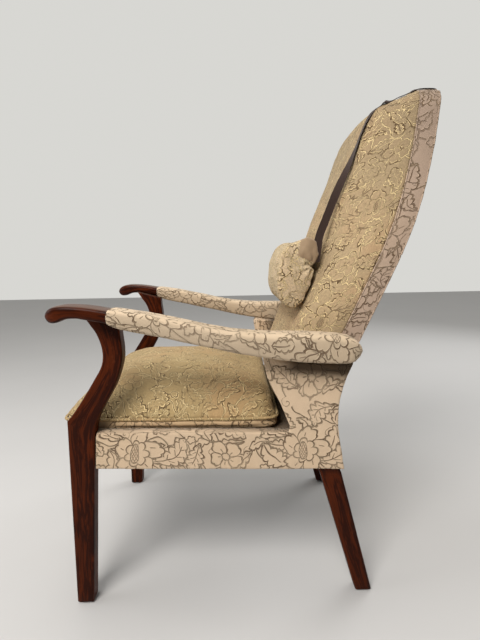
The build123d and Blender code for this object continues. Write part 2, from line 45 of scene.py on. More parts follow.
# ------------------------------------------------------------------ tables, mm: (y, z) with y counted from the front feet
FOOT_Y = -370.197
LEG_FRONT = [(34, 618.2), (46, 600), (55, 586.5), (60.5, 574), (65, 559), (67, 544), (66.3, 530), (63, 517),
             (57, 505), (50, 494), (38, 474.5), (27, 457.5), (16, 441), (5, 425.5), (-5, 413), (-12.5, 404)]
LEG_REAR = [(102, 598.4), (103, 584), (105.5, 560), (106, 541), (104.3, 525), (100, 508.5), (94, 491), (86.5, 474),
            (77, 457), (66, 438.5), (55, 419), (47, 402), (42.5, 386), (40, 364)]
ARM_TOP = [(100, 630.8), (90, 632.5), (74, 635.3), (54, 638.8), (32, 641.4), (5, 642.6), (-14, 640), (-25, 634.8), (-31.5, 628.5), (-33.0, 622.5)]
ARM_LOW = [(100, 605.2), (87, 607.9), (68, 612.2), (44, 616.4), (34, 618.4), (16, 618.5), (5, 616), (-3, 612.8), (-9, 610.8), (-16.5, 610),
           (-24.5, 611.3), (-30.5, 615.5), (-33.0, 621.0)]
PAD_TOP = [(90, 634), (122, 630), (162, 623.5), (201, 615), (241, 605.5), (281, 596), (321, 588.5), (361, 584),
           (401, 581.5), (462, 580), (502, 578), (532, 575.5), (552, 571.5), (565, 565), (573, 556), (575.5, 548)]
PAD_LOW = [(90, 605), (114, 596.5), (151, 588), (188, 580), (226, 571), (264, 562), (302, 553), (340, 544.5),
           (378, 537), (416, 531), (454, 526.5), (493, 523.5), (531, 521), (550, 521.5), (562, 525), (571, 534), (575.5, 544)]
REAR = [(553, 291), (551, 296), (547.5, 322), (544, 342), (541, 366), (539.2, 385), (539, 398), (540, 420), (543.5, 441), (548.5, 462),
        (555.5, 483), (563, 500), (579.5, 535), (595, 567), (611, 600), (627, 633), (642.5, 665), (658, 697), (673, 728),
        (687, 760), (703, 797), (719, 842), (728, 872), (736, 903), (743, 931), (748.5, 955), (753, 978), (758, 1002),
        (763, 1022), (768.5, 1042), (773.5, 1058), (778, 1072), (781, 1086)]
FRONT = [(440, 372), (437, 385), (431, 400), (420, 414), (411.5, 430), (412.5, 450), (423, 480), (431, 500), (445, 535), (457, 565),
         (471, 600), (491, 650), (510.5, 700), (526, 749), (534, 778), (548, 815), (561, 847), (575, 882), (586.5, 911),
         (599, 948), (611.5, 981), (623, 1001), (645, 1028), (669, 1045), (700, 1059), (721, 1067.5), (733, 1077), (739, 1085.5)]
HALF = [(291, 250), (600, 250), (650, 249), (700, 246), (755, 241), (800, 232), (850, 221.5), (900, 212), (950, 203), (1000, 193),
        (1025, 185), (1045, 173), (1062, 153), (1074, 122), (1082, 75), (1086, 0)]
FLAT = [(291, 200), (580, 200), (650, 190), (720, 166), (760, 152), (1000, 148), (1030, 136), (1048, 115), (1060, 90), (1070, 60), (1080, 25), (1086, 0)]
WING_FRONT = [(387.5, 534.6), (387.5, 520), (390, 504), (396, 485), (404, 464), (414, 445), (422, 428), (430, 408), (438, 387), (442, 374.2)]
STRAP = [((193.0, 495.5, 722.0), (0.0, 0.94, -0.34)), ((190.0, 502.0, 740.0), (0.0, 0.94, -0.34)), ((184.0, 514.5, 768.0), (0.0, 0.93, -0.37)),
         ((176.0, 529.5, 802.0), (0.0, 0.93, -0.37)), ((168.0, 543.5, 835.0), (0.0, 0.93, -0.36)), ((160.0, 557.5, 865.5), (0.30, 0.88, -0.36)),
         ((153.0, 574.0, 899.0), (0.70, 0.66, -0.26)), ((148.0, 588.5, 929.0), (0.93, 0.34, -0.13)), ((143.0, 603.3, 964.2), (1.0, 0.0, 0.0)),
         ((139.0, 615.9, 994.9), (1.0, 0.0, 0.0)), ((135.0, 635.6, 1021.1), (1.0, 0.0, 0.0)), ((133.0, 648.5, 1033.6), (1.0, 0.0, 0.0)),
         ((131.0, 663.8, 1043.9), (1.0, 0.0, 0.0)), ((127.0, 698.5, 1061.0), (1.0, 0.0, -0.05)), ((123.5, 722.0, 1073.0), (1.0, 0.0, -0.12)),
         ((122.0, 736.0, 1077.8), (1.0, 0.0, -0.17)), ((118.0, 768.0, 1079.8), (1.0, 0.0, -0.12)), ((113.0, 781.0, 1079.4), (1.0, 0.0, 0.05)),
         ((106.0, 781.3, 1072.0), (0.98, 0.0, 0.20)), ((84.0, 771.0, 1033.7), (0.87, 0.0, 0.50)),
         ((58.0, 759.6, 991.7), (0.85, 0.0, 0.52)), ((26.0, 750.5, 940.0), (0.85, 0.0, 0.52))]
PIL_C, PIL_TILT, PILLOW_HALF, PIL_L, PIL_D = (458.0, 690.0), math.radians(20.5), 196.0, 150.0, 74.0


def at(table, z, col=0):
    a = np.array(table, float)
    zs, vs = a[:, 1 - col], a[:, col]
    if zs[0] > zs[-1]:
        zs, vs = zs[::-1], vs[::-1]
    return np.interp(z, zs, vs)


def rear(z):
    return at(REAR, z)


def front(z):
    return at(FRONT, z)


def half(z):
    return at(HALF, z, 1)


def flat(z):
    return at(FLAT, z, 1)


def P(x, y, z):
    """table millimetres to the part's metres"""
    return np.stack(np.broadcast_arrays(np.asarray(x, float), np.asarray(y, float) + FOOT_Y, np.asarray(z, float)), -1) / 1000.0


def spline(pts, n, tension=0.5):
    """n points evenly spaced along a smooth line through pts"""
    p = np.array(pts, float)
    q = np.vstack([2 * p[0] - p[1], p, 2 * p[-1] - p[-2]])
    out = []
    for i in range(1, len(q) - 2):
        t = np.linspace(0, 1, 12, endpoint=False)[:, None]
        a, b, c, d = q[i - 1], q[i], q[i + 1], q[i + 2]
        out.append(0.5 * ((2 * b) + (c - a) * t + (2 * a - 5 * b + 4 * c - d) * t ** 2 + (3 * b - a - 3 * c + d) * t ** 3))
    out.append(q[-2][None])
    s = np.vstack(out)
    L = np.r_[0, np.cumsum(np.linalg.norm(np.diff(s, axis=0), axis=1))]
    u = np.linspace(0, L[-1], n)
    return np.stack([np.interp(u, L, s[:, k]) for k in range(s.shape[1])], 1)


def unit(v):
    v = np.asarray(v, float)
    return v / np.maximum(np.linalg.norm(v, axis=-1, keepdims=True), 1e-12)


def rrect(c, A, B, ha, hb, r, k=4, m=3, bulge_a=0.0, bulge_b=0.0):
    """ring of a rectangle with rounded corners round c: A and B are its directions, r may be one radius or four"""
    rr = [r] * 4 if np.isscalar(r) else list(r)
    pts, out = [], []
    for q, (sa, sb) in enumerate(((1, 1), (-1, 1), (-1, -1), (1, -1))):
        rad = rr[q]
        t = np.linspace(0, math.pi / 2, k + 1) + q * math.pi / 2
        pts.append(np.stack([sa * (ha - rad) + rad * np.cos(t), sb * (hb - rad) + rad * np.sin(t)], 1))
    for q in range(4):
        out.append(pts[q])
        a, b = pts[q][-1], pts[(q + 1) % 4][0]
        t = np.linspace(0, 1, m + 2)[1:-1, None]
        side = a + (b - a) * t
        lift = (4 * t * (1 - t))[:, 0]
        if q in (0, 2):
            side[:, 1] += (1 if q == 0 else -1) * bulge_b * lift
        else:
            side[:, 0] += (-1 if q == 1 else 1) * bulge_a * lift
        out.append(side)
    o = np.vstack(out)
    return np.asarray(c)[None] + o[:, :1] * np.asarray(A)[None] + o[:, 1:] * np.asarray(B)[None]


def loft(rings, cap=True, scale_u=1.0, closed=True):
    """faces and metre-scaled UVs over a list of rings"""
    R = np.array(rings)
    m, n = R.shape[:2]
    V = R.reshape(-1, 3)
    along = np.r_[0, np.cumsum(np.linalg.norm(np.diff(R, axis=0), axis=2).mean(1))]
    nxt = np.roll(R, -1, axis=1)
    seg = np.linalg.norm(nxt - R, axis=2).mean(0)
    if not closed:
        seg = seg[:-1]
    around = np.r_[0, np.cumsum(seg)]
    faces, uvs = [], []
    for i in range(m - 1):
        for j in range(n if closed else n - 1):
            k = (j + 1) % n
            faces.append((i * n + j, i * n + k, (i + 1) * n + k, (i + 1) * n + j))
            uvs += [(along[i], around[j]), (along[i], around[j + 1]), (along[i + 1], around[j + 1]), (along[i + 1], around[j])]
    if cap and closed:
        for i in (0, m - 1):
            c = R[i].mean(0)
            V = np.vstack([V, c])
            ci = len(V) - 1
            for j in range(n):
                k = (j + 1) % n
                tri = (i * n + k, i * n + j, ci) if i == 0 else (i * n + j, i * n + k, ci)
                faces.append(tri)
                for q in tri:
                    d = V[q] - c
                    uvs.append((along[i] + (np.linalg.norm(d)) * (1 if i else -1), around[j]))
    return V, faces, np.array(uvs)


def mesh_object(name, V, faces, uvs=None, mat=None, smooth=True, sharp=None, recalc=True):
    me = bpy.data.meshes.new(name)
    me.from_pydata([tuple(map(float, v)) for v in V], [], [tuple(map(int, f)) for f in faces])
    if uvs is not None:
        layer = me.uv_layers.new(name="fab")
        layer.data.foreach_set("uv", np.asarray(uvs, np.float32).ravel())
    if recalc:
        bm = bmesh.new()
        bm.from_mesh(me)
        bmesh.ops.recalc_face_normals(bm, faces=bm.faces)
        bm.to_mesh(me)
        bm.free()
    me.polygons.foreach_set("use_smooth", [smooth] * len(me.polygons))
    me.update()
    ob = bpy.data.objects.new(name, me)
    COLL.objects.link(ob)
    if mat is not None:
        me.materials.append(mat)
    return ob


def coords(ob):
    a = np.empty(len(ob.data.vertices) * 3)
    ob.data.vertices.foreach_get("co", a)
    return a.reshape(-1, 3)


def set_coords(ob, a):
    ob.data.vertices.foreach_set("co", np.asarray(a, np.float64).ravel())
    ob.data.update()


def normals(ob):
    ob.data.update()
    a = np.empty(len(ob.data.vertices) * 3)
    ob.data.vertices.foreach_get("normal", a)
    return a.reshape(-1, 3)


def apply_mods(ob):
    dg = bpy.context.evaluated_depsgraph_get()
    me = bpy.data.meshes.new_from_object(ob.evaluated_get(dg), preserve_all_data_layers=True, depsgraph=dg)
    old = ob.data
    ob.modifiers.clear()
    ob.data = me
    me.name = ob.name
    if old.users == 0:
        bpy.data.meshes.remove(old)
    return ob


def remesh(ob, size):
    m = ob.modifiers.new("r", "REMESH")
    m.mode = "VOXEL"
    m.voxel_size = size
    m.use_smooth_shade = True
    return apply_mods(ob)


def relax(ob, times, factor=0.5):
    m = ob.modifiers.new("s", "SMOOTH")
    m.iterations = times
    m.factor = factor
    return apply_mods(ob)


def divide(ob, levels=1):
    m = ob.modifiers.new("d", "SUBSURF")
    m.levels = m.render_levels = levels
    return apply_mods(ob)


def join(name, obs, mat=None):
    bm = bmesh.new()
    for o in obs:
        bm.from_mesh(o.data)
    me = bpy.data.meshes.new(name)
    bm.to_mesh(me)
    bm.free()
    me.polygons.foreach_set("use_smooth", [True] * len(me.polygons))
    for o in obs:
        bpy.data.objects.remove(o)
    ob = bpy.data.objects.new(name, me)
    COLL.objects.link(ob)
    if mat is not None:
        me.materials.append(mat)
    return ob


def mirrored(ob, name):
    me = ob.data.copy()
    me.transform(Matrix.Diagonal((-1, 1, 1, 1)))
    me.flip_normals()
    me.name = name
    o = bpy.data.objects.new(name, me)
    COLL.objects.link(o)
    return o


def shift_uv(ob, du, dv):
    layer = ob.data.uv_layers["fab"]
    a = np.empty(len(ob.data.loops) * 2, np.float32)
    layer.data.foreach_get("uv", a)
    a = a.reshape(-1, 2) + np.array([du, dv], np.float32)
    layer.data.foreach_set("uv", a.ravel())


def map_uv(ob, fn):
    """writes the fabric map from each corner's place and its face's normal"""
    me = ob.data
    co = coords(ob)
    lv = np.empty(len(me.loops), np.int32)
    me.loops.foreach_get("vertex_index", lv)
    tot = np.empty(len(me.polygons), np.int32)
    me.polygons.foreach_get("loop_total", tot)
    pn = np.empty(len(me.polygons) * 3)
    me.polygons.foreach_get("normal", pn)
    pn = np.repeat(pn.reshape(-1, 3), tot, axis=0)
    uv = fn(co[lv], pn)
    layer = me.uv_layers.get("fab") or me.uv_layers.new(name="fab")
    layer.data.foreach_set("uv", np.asarray(uv, np.float32).ravel())


def box_uv(co, n, bias=(1.0, 1.0, 1.0)):
    a = np.abs(n) * np.array(bias)
    k = a.argmax(1)
    u = np.where(k == 0, co[:, 1], co[:, 0])
    v = np.where(k == 2, co[:, 1], co[:, 2])
    u = u + np.where(k == 0, np.sign(n[:, 0]) * 0.31, np.where(k == 2, 1.7, 0.9))
    return np.stack([u, v], 1)


# ------------------------------------------------------------------ smooth noise in code, for soft surfaces
_G = rng.normal(size=(32, 32, 32, 3))
_G /= np.linalg.norm(_G, axis=-1, keepdims=True)


def noise3(p, scale):
    q = np.asarray(p) * scale
    i = np.floor(q).astype(int)
    f = q - i
    w = f * f * f * (f * (f * 6 - 15) + 10)
    out = 0
    for dx in (0, 1):
        for dy in (0, 1):
            for dz in (0, 1):
                g = _G[(i[:, 0] + dx) % 32, (i[:, 1] + dy) % 32, (i[:, 2] + dz) % 32]
                d = ((f - np.array([dx, dy, dz])) * g).sum(1)
                wx = w[:, 0] if dx else 1 - w[:, 0]
                wy = w[:, 1] if dy else 1 - w[:, 1]
                wz = w[:, 2] if dz else 1 - w[:, 2]
                out = out + d * wx * wy * wz
    return out


def smoothstep(a, b, x):
    t = np.clip((x - a) / (b - a), 0, 1)
    return t * t * (3 - 2 * t)


# ------------------------------------------------------------------ materials
class Sock:
    """a number in a node tree, with ordinary arithmetic"""

    def __init__(self, g, s):
        self.g, self.s = g, s

    def _m(self, op, *o):
        return self.g.math(op, self, *o)

    def __add__(self, o): return self._m("ADD", o)
    def __radd__(self, o): return self._m("ADD", o)
    def __sub__(self, o): return self._m("SUBTRACT", o)
    def __rsub__(self, o): return self.g.math("SUBTRACT", o, self)
    def __mul__(self, o): return self._m("MULTIPLY", o)
    def __rmul__(self, o): return self._m("MULTIPLY", o)
    def __truediv__(self, o): return self._m("DIVIDE", o)
    def __neg__(self): return self._m("MULTIPLY", -1.0)
    def abs(self): return self._m("ABSOLUTE")
    def sin(self): return self._m("SINE")
    def cos(self): return self._m("COSINE")
    def sqrt(self): return self._m("SQRT")
    def pow(self, o): return self._m("POWER", o)
    def min(self, o): return self._m("MINIMUM", o)
    def max(self, o): return self._m("MAXIMUM", o)
    def gt(self, o): return self._m("GREATER_THAN", o)
    def lt(self, o): return self._m("LESS_THAN", o)
    def frac(self): return self._m("FRACT")
    def pingpong(self, o): return self._m("PINGPONG", o)

    def step(self, a, b):
        """0 below a, 1 above b, smooth between"""
        n = self.g.node("ShaderNodeMapRange")
        n.interpolation_type = "SMOOTHSTEP"
        self.g.link(self.s, n.inputs[0])
        n.inputs[1].default_value, n.inputs[2].default_value = a, b
        n.inputs[3].default_value, n.inputs[4].default_value = 0.0, 1.0
        return Sock(self.g, n.outputs[0])

    def fall(self, a, b):
        """1 below a, 0 above b"""
        return 1.0 - self.step(a, b)


class Graph:
    def __init__(self, name):
        self.mat = bpy.data.materials.new(name)
        self.mat.use_nodes = True
        self.t = self.mat.node_tree
        self.t.nodes.clear()
        self.out = self.node("ShaderNodeOutputMaterial")
        self.bsdf = self.node("ShaderNodeBsdfPrincipled")
        self.link(self.bsdf.outputs[0], self.out.inputs[0])
        self.x = 0

    def node(self, kind):
        return self.t.nodes.new(kind)

    def link(self, a, b):
        self.t.links.new(a.s if isinstance(a, Sock) else a, b)

    def put(self, value, socket):
        if isinstance(value, Sock):
            self.link(value.s, socket)
        elif isinstance(value, bpy.types.NodeSocket):
            self.link(value, socket)
        else:
            socket.default_value = value

    def math(self, op, *o):
        n = self.node("ShaderNodeMath")
        n.operation = op
        for i, v in enumerate(o):
            self.put(v, n.inputs[i])
        return Sock(self, n.outputs[0])

    def vmath(self, op, *o):
        n = self.node("ShaderNodeVectorMath")
        n.operation = op
        for i, v in enumerate(o):
            if op == "SCALE" and i == 1:
                self.put(v, n.inputs["Scale"])
            else:
                self.put(v, n.inputs[i])
        return n.outputs["Value"] if op in ("LENGTH", "DOT_PRODUCT", "DISTANCE") else n.outputs["Vector"]

    def uv(self, name="fab"):
        n = self.node("ShaderNodeUVMap")
        n.uv_map = name
        return n.outputs[0]

    def coord(self, kind="Object"):
        return self.node("ShaderNodeTexCoord").outputs[kind]

    def noise(self, vec, scale, detail=2.0, rough=0.5, dims="2D", out=0, distortion=0.0):
        n = self.node("ShaderNodeTexNoise")
        n.noise_dimensions = dims
        self.put(vec, n.inputs["Vector"])
        n.inputs["Scale"].default_value = scale
        n.inputs["Detail"].default_value = detail
        n.inputs["Roughness"].default_value = rough
        n.inputs["Distortion"].default_value = distortion
        return Sock(self, n.outputs[0]) if out == 0 else n.outputs[1]

    def voronoi(self, vec, scale, rand=1.0, dims="2D", feature="F1"):
        n = self.node("ShaderNodeTexVoronoi")
        n.voronoi_dimensions = dims
        n.feature = feature
        self.put(vec, n.inputs["Vector"])
        n.inputs["Scale"].default_value = scale
        n.inputs["Randomness"].default_value = rand
        return n

    def wave(self, vec, scale, distortion=0.0, direction="X", detail=2.0, dscale=1.0):
        n = self.node("ShaderNodeTexWave")
        n.bands_direction = direction
        self.put(vec, n.inputs["Vector"])
        n.inputs["Scale"].default_value = scale
        n.inputs["Distortion"].default_value = distortion
        n.inputs["Detail"].default_value = detail
        n.inputs["Detail Scale"].default_value = dscale
        return Sock(self, n.outputs["Fac"])

    def split(self, vec):
        n = self.node("ShaderNodeSeparateXYZ")
        self.put(vec, n.inputs[0])
        return [Sock(self, o) for o in n.outputs]

    def join(self, x, y, z=0.0):
        n = self.node("ShaderNodeCombineXYZ")
        for v, s in zip((x, y, z), n.inputs):
            self.put(v, s)
        return n.outputs[0]

    def mix(self, fac, a, b):
        n = self.node("ShaderNodeMix")
        n.data_type = "RGBA"
        self.put(fac, n.inputs[0])
        for v, i in ((a, 6), (b, 7)):
            if isinstance(v, (tuple, list)):
                n.inputs[i].default_value = (*v, 1.0) if len(v) == 3 else v
            else:
                self.put(v, n.inputs[i])
        return n.outputs[2]

    def bump(self, height, strength=1.0, distance=0.001, normal=None):
        n = self.node("ShaderNodeBump")
        n.inputs["Strength"].default_value = strength
        n.inputs["Distance"].default_value = distance
        self.put(height, n.inputs["Height"])
        if normal is not None:
            self.link(normal, n.inputs["Normal"])
        return n.outputs[0]

    def set(self, **kw):
        for k, v in kw.items():
            s = self.bsdf.inputs[k.replace("_", " ")]
            if isinstance(v, (tuple, list)) and len(v) == 3:
                v = (*v, 1.0)
            self.put(v, s)


def srgb(r, g, b):
    out = []
    for c in (r, g, b):
        c /= 255.0
        out.append(c / 12.92 if c <= 0.04045 else ((c + 0.055) / 1.055) ** 2.4)
    return tuple(out)


def floral(g, p, width=0.00122, reach=2.4):
    """outlines of a traditional flower, leaf and scroll design, over a map in metres"""
    w1 = g.vmath("SCALE", g.vmath("SUBTRACT", g.noise(p, 10.0, 1.0, 0.4, out=1), (0.5, 0.5, 0.5)), 0.022)
    w2 = g.vmath("SCALE", g.vmath("SUBTRACT", g.noise(p, 46.0, 0.5, 0.4, out=1), (0.5, 0.5, 0.5)), 0.0050)
    q = g.vmath("ADD", p, g.vmath("ADD", w1, w2))
    vary = g.noise(g.vmath("ADD", p, (8.1, 4.4, 0.0)), 30.0, 1.0, 0.5)
    wide = width * (0.62 + vary * 0.75)

    def cells(scale, rand, off):
        v = g.vmath("ADD", q, off)
        n = g.voronoi(v, scale, rand)
        d = g.vmath("SUBTRACT", v, n.outputs["Position"])
        x, y, _ = g.split(d)
        rnd = g.split(n.outputs["Color"])
        a = rnd[0] * 6.2832
        ca, sa = a.cos(), a.sin()
        return x * ca - y * sa, x * sa + y * ca, rnd

    def line(f, k=1.0):
        return (1.0 - f.abs() / (wide * (k * reach))).max(0.0)

    def inside(f, m=0.0):
        return f.fall(m - 0.0003, m + 0.0003)

    # the woven repeat: columns with a half drop
    qx, qy, _ = g.split(q)

    def repeat(cx, cy, across=0.1712, up=0.33):
        x, y = qx - cx, qy - cy
        i = g.math("FLOOR", x / across + 0.5)
        odd = g.math("FLOORED_MODULO", i, 2.0)
        j = g.math("FLOOR", y / up - odd * 0.5 + 0.5)
        return x - i * across, y - (j + odd * 0.5) * up

    # large open flowers with a latticed heart
    lx, ly = repeat(-0.2429, 0.3305)
    r = (lx * lx * 0.86 + ly * ly).sqrt()
    th = g.math("ARCTAN2", ly, lx) + r * 8.0
    big = (th * 2.5 + 0.5).sin().abs()
    ser = (th * 9.0 + 1.1).sin().abs()
    f1 = (r - (0.0270 + 0.0180 * big.pow(0.55) + 0.0052 * ser.pow(0.8) * big)) * 0.9
    big2 = (th * 3.5 + 1.35).sin().abs()
    f2 = r - (0.0165 + 0.0085 * big2.pow(0.6))
    hx = lx + 0.004
    rc = ((hx * 1.40) * (hx * 1.40) + (ly * 0.74) * (ly * 0.74)).sqrt()
    f3 = rc - 0.0128
    split = (big * r * 0.40).fall(0.0006, 0.0016) * r.step(0.018, 0.020) * f1.fall(-0.0006, 0.0)
    vein = ((th * 5.0 + 0.5).sin().abs() * r * 0.20).fall(0.0004, 0.0011) * r.step(0.0275, 0.029) * r.fall(0.036, 0.0375) * big.step(0.45, 0.6)
    flower_in = inside(f1)
    inner_in = inside(f2)
    gx = ((lx + ly * 0.62) * 560.0).sin().abs()
    gy = ((lx - ly * 0.62) * 560.0).sin().abs()
    lattice = gx.fall(0.22, 0.58).max(gy.fall(0.22, 0.58)) * inside(f3, -0.0004)
    flower = line(f1, 1.1).max(line(f2) * inside(f1)).max(split * (1.0 - inner_in)).max(vein * 0.9)
    flower = (flower * (1.0 - inside(f3))).max(line(f3, 0.6) * 0.8)

    # smaller five-lobed flowers half way up the repeat
    mx, my = repeat(-0.2429 + 0.012, 0.3305 + 0.152)
    mr = (mx * mx + my * my * 0.8).sqrt()
    mt = g.math("ARCTAN2", my, mx) - mr * 10.0
    mb = (mt * 2.5).sin().abs()
    m1 = (mr - (0.0190 + 0.0125 * mb.pow(0.6) + 0.0024 * (mt * 7.5).sin().abs())) * 0.92
    m2 = mr - (0.0070 + 0.0018 * (mt * 4.0).sin().abs())
    m_in = inside(m1)
    mvein = ((mt * 5.0 + 0.4).sin().abs() * mr * 0.20).fall(0.0004, 0.0011) * mr.step(0.0105, 0.012) * mr.fall(0.0165, 0.018)
    msplit = (mb * mr * 0.40).fall(0.0006, 0.0016) * mr.step(0.009, 0.010) * m1.fall(-0.0006, 0.0)
    flower_b = line(m1, 1.05).max(line(m2, 0.9)).max(msplit * (1.0 - inside(m2))).max(mvein * 0.9)

    # curved leaves with cut edges and a rib
    def leaf_shape(x, y, turn, half_l, half_w, lobes):
        yb = y - x * x * turn
        xl = (x / half_l).max(-1.0).min(1.0)
        env = ((1.0 - xl * xl) * (1.0 + xl * 0.42)).max(0.0).pow(0.72)
        cut = (xl * (lobes * 1.5708) + 0.4).sin().abs().pow(0.7)
        w = half_w * env * (0.62 + 0.50 * cut)
        f = (yb.abs() - w) * 0.74
        f = f.max((x.abs() - half_l))
        rib = (yb + (x * 110.0).sin() * 0.0007).abs().fall(0.0005, 0.0014) * xl.step(-0.95, -0.85) * xl.fall(0.50, 0.66)
        veins = ((x - yb.abs() * 0.9) * (3.1416 / (half_l * 0.40))).sin().abs() * (half_l * 0.40 / 3.1416)
        veins = veins.fall(0.0004, 0.0012) * yb.abs().step(0.0014, 0.0024) * (yb.abs() - w * 0.55).fall(-0.0004, 0.0004)
        return f, rib, veins

    def turned(x, y, deg):
        c, s = math.cos(math.radians(deg)), math.sin(math.radians(deg))
        return x * c + y * s, y * c - x * s

    # pairs of large leaves in the repeat
    ax, ay = repeat(-0.2429 + 0.074, 0.3305 - 0.012)
    ax, ay = turned(ax, ay, 38)
    a1, riba, veina = leaf_shape(ax, ay, 11.0, 0.046, 0.0205, 6.0)
    ina = inside(a1)
    leafa = line(a1, 1.05).max(riba * ina).max(veina * ina * 0.9)
    cx_, cy_ = repeat(-0.2429 - 0.070, 0.3305 + 0.052)
    cx_, cy_ = turned(cx_, cy_, 128)
    c1, ribc, veinc = leaf_shape(cx_, cy_, -14.0, 0.040, 0.0165, 5.0)
    inc = inside(c1)
    leafc = line(c1, 1.05).max(ribc * inc).max(veinc * inc * 0.9)
    # more leaves, scattered
    x3, y3, r3 = cells(12.0, 0.60, (0.391, 0.873, 0.0))
    d1, ribd, veind = leaf_shape(x3, y3, (r3[1] - 0.5) * 46.0, 0.0345, 0.0165, 5.0)
    ind = inside(d1)
    leafd = line(d1).max(ribd * ind).max(veind * ind * r3[2].gt(0.3) * 0.9)
    x2, y2, r2 = cells(18.5, 0.55, (0.713, 0.427, 0.0))
    l2, rib2, veins2 = leaf_shape(x2, y2, (r2[1] - 0.5) * 70.0, 0.0225, 0.0098, 4.0)
    has2 = r2[2].lt(0.92)
    in2 = inside(l2)
    leaf2 = line(l2, 0.95).max(rib2 * in2 * r2[2].gt(0.30))
    # rounded buds and curls
    bx, by, br = cells(25.0, 0.7, (0.113, 0.927, 0.0))
    rb = (bx * bx + by * by).sqrt()
    tb_ = g.math("ARCTAN2", by, bx)
    bud = rb - (0.0070 + 0.0034 * (tb_ * 2.5).sin().abs().pow(0.7))
    curl = (((tb_ + rb * 560.0) * 0.5).sin().abs() * (rb + 0.0024)).fall(0.0009, 0.0019) * rb.fall(0.0120, 0.0132)
    small = g.math("MULTIPLY", line(bud, 0.85), br[2].lt(0.34)).max(curl * br[2].gt(0.66))
    small_in = rb.fall(0.0124, 0.0134) * (br[2].lt(0.34).max(br[2].gt(0.66)))

    # thin stems along the contours of smooth noise, evened out by its slope
    def contour(off, scale, level):
        e = 0.0012
        v = g.vmath("ADD", q, off)
        n0 = g.noise(v, scale, 0.0, 0.5)
        nx_ = g.noise(g.vmath("ADD", v, (e, 0.0, 0.0)), scale, 0.0, 0.5)
        ny_ = g.noise(g.vmath("ADD", v, (0.0, e, 0.0)), scale, 0.0, 0.5)
        gx_, gy_ = (nx_ - n0) / e, (ny_ - n0) / e
        slope = (gx_ * gx_ + gy_ * gy_).sqrt().max(scale * 0.18)
        return (n0 - level) / slope
    stem = line(contour((0.0, 0.0, 0.0), 14.0, 0.50), 0.9)

    m = 0.0018
    base = stem * (1.0 - small_in)
    base = base.max(small)
    hide2 = inside(l2, m) * has2
    base = base * (1.0 - hide2) + leaf2 * hide2
    hd = inside(d1, m)
    base = base * (1.0 - hd) + leafd * hd
    hc = inside(c1, m)
    base = base * (1.0 - hc) + leafc * hc
    ha = inside(a1, m)
    base = base * (1.0 - ha) + leafa * ha
    hb = inside(m1, m)
    base = base * (1.0 - hb) + flower_b * hb
    hide = inside(f1, m)
    base = base * (1.0 - hide) + flower * hide
    core = base.step(1.0 - 1.30 / reach, 1.0 - 0.77 / reach)
    return core, base.step(0.03, 0.34) * (1.0 - core), lattice, flower_in.max(m_in), inner_in, ina.max(inc)


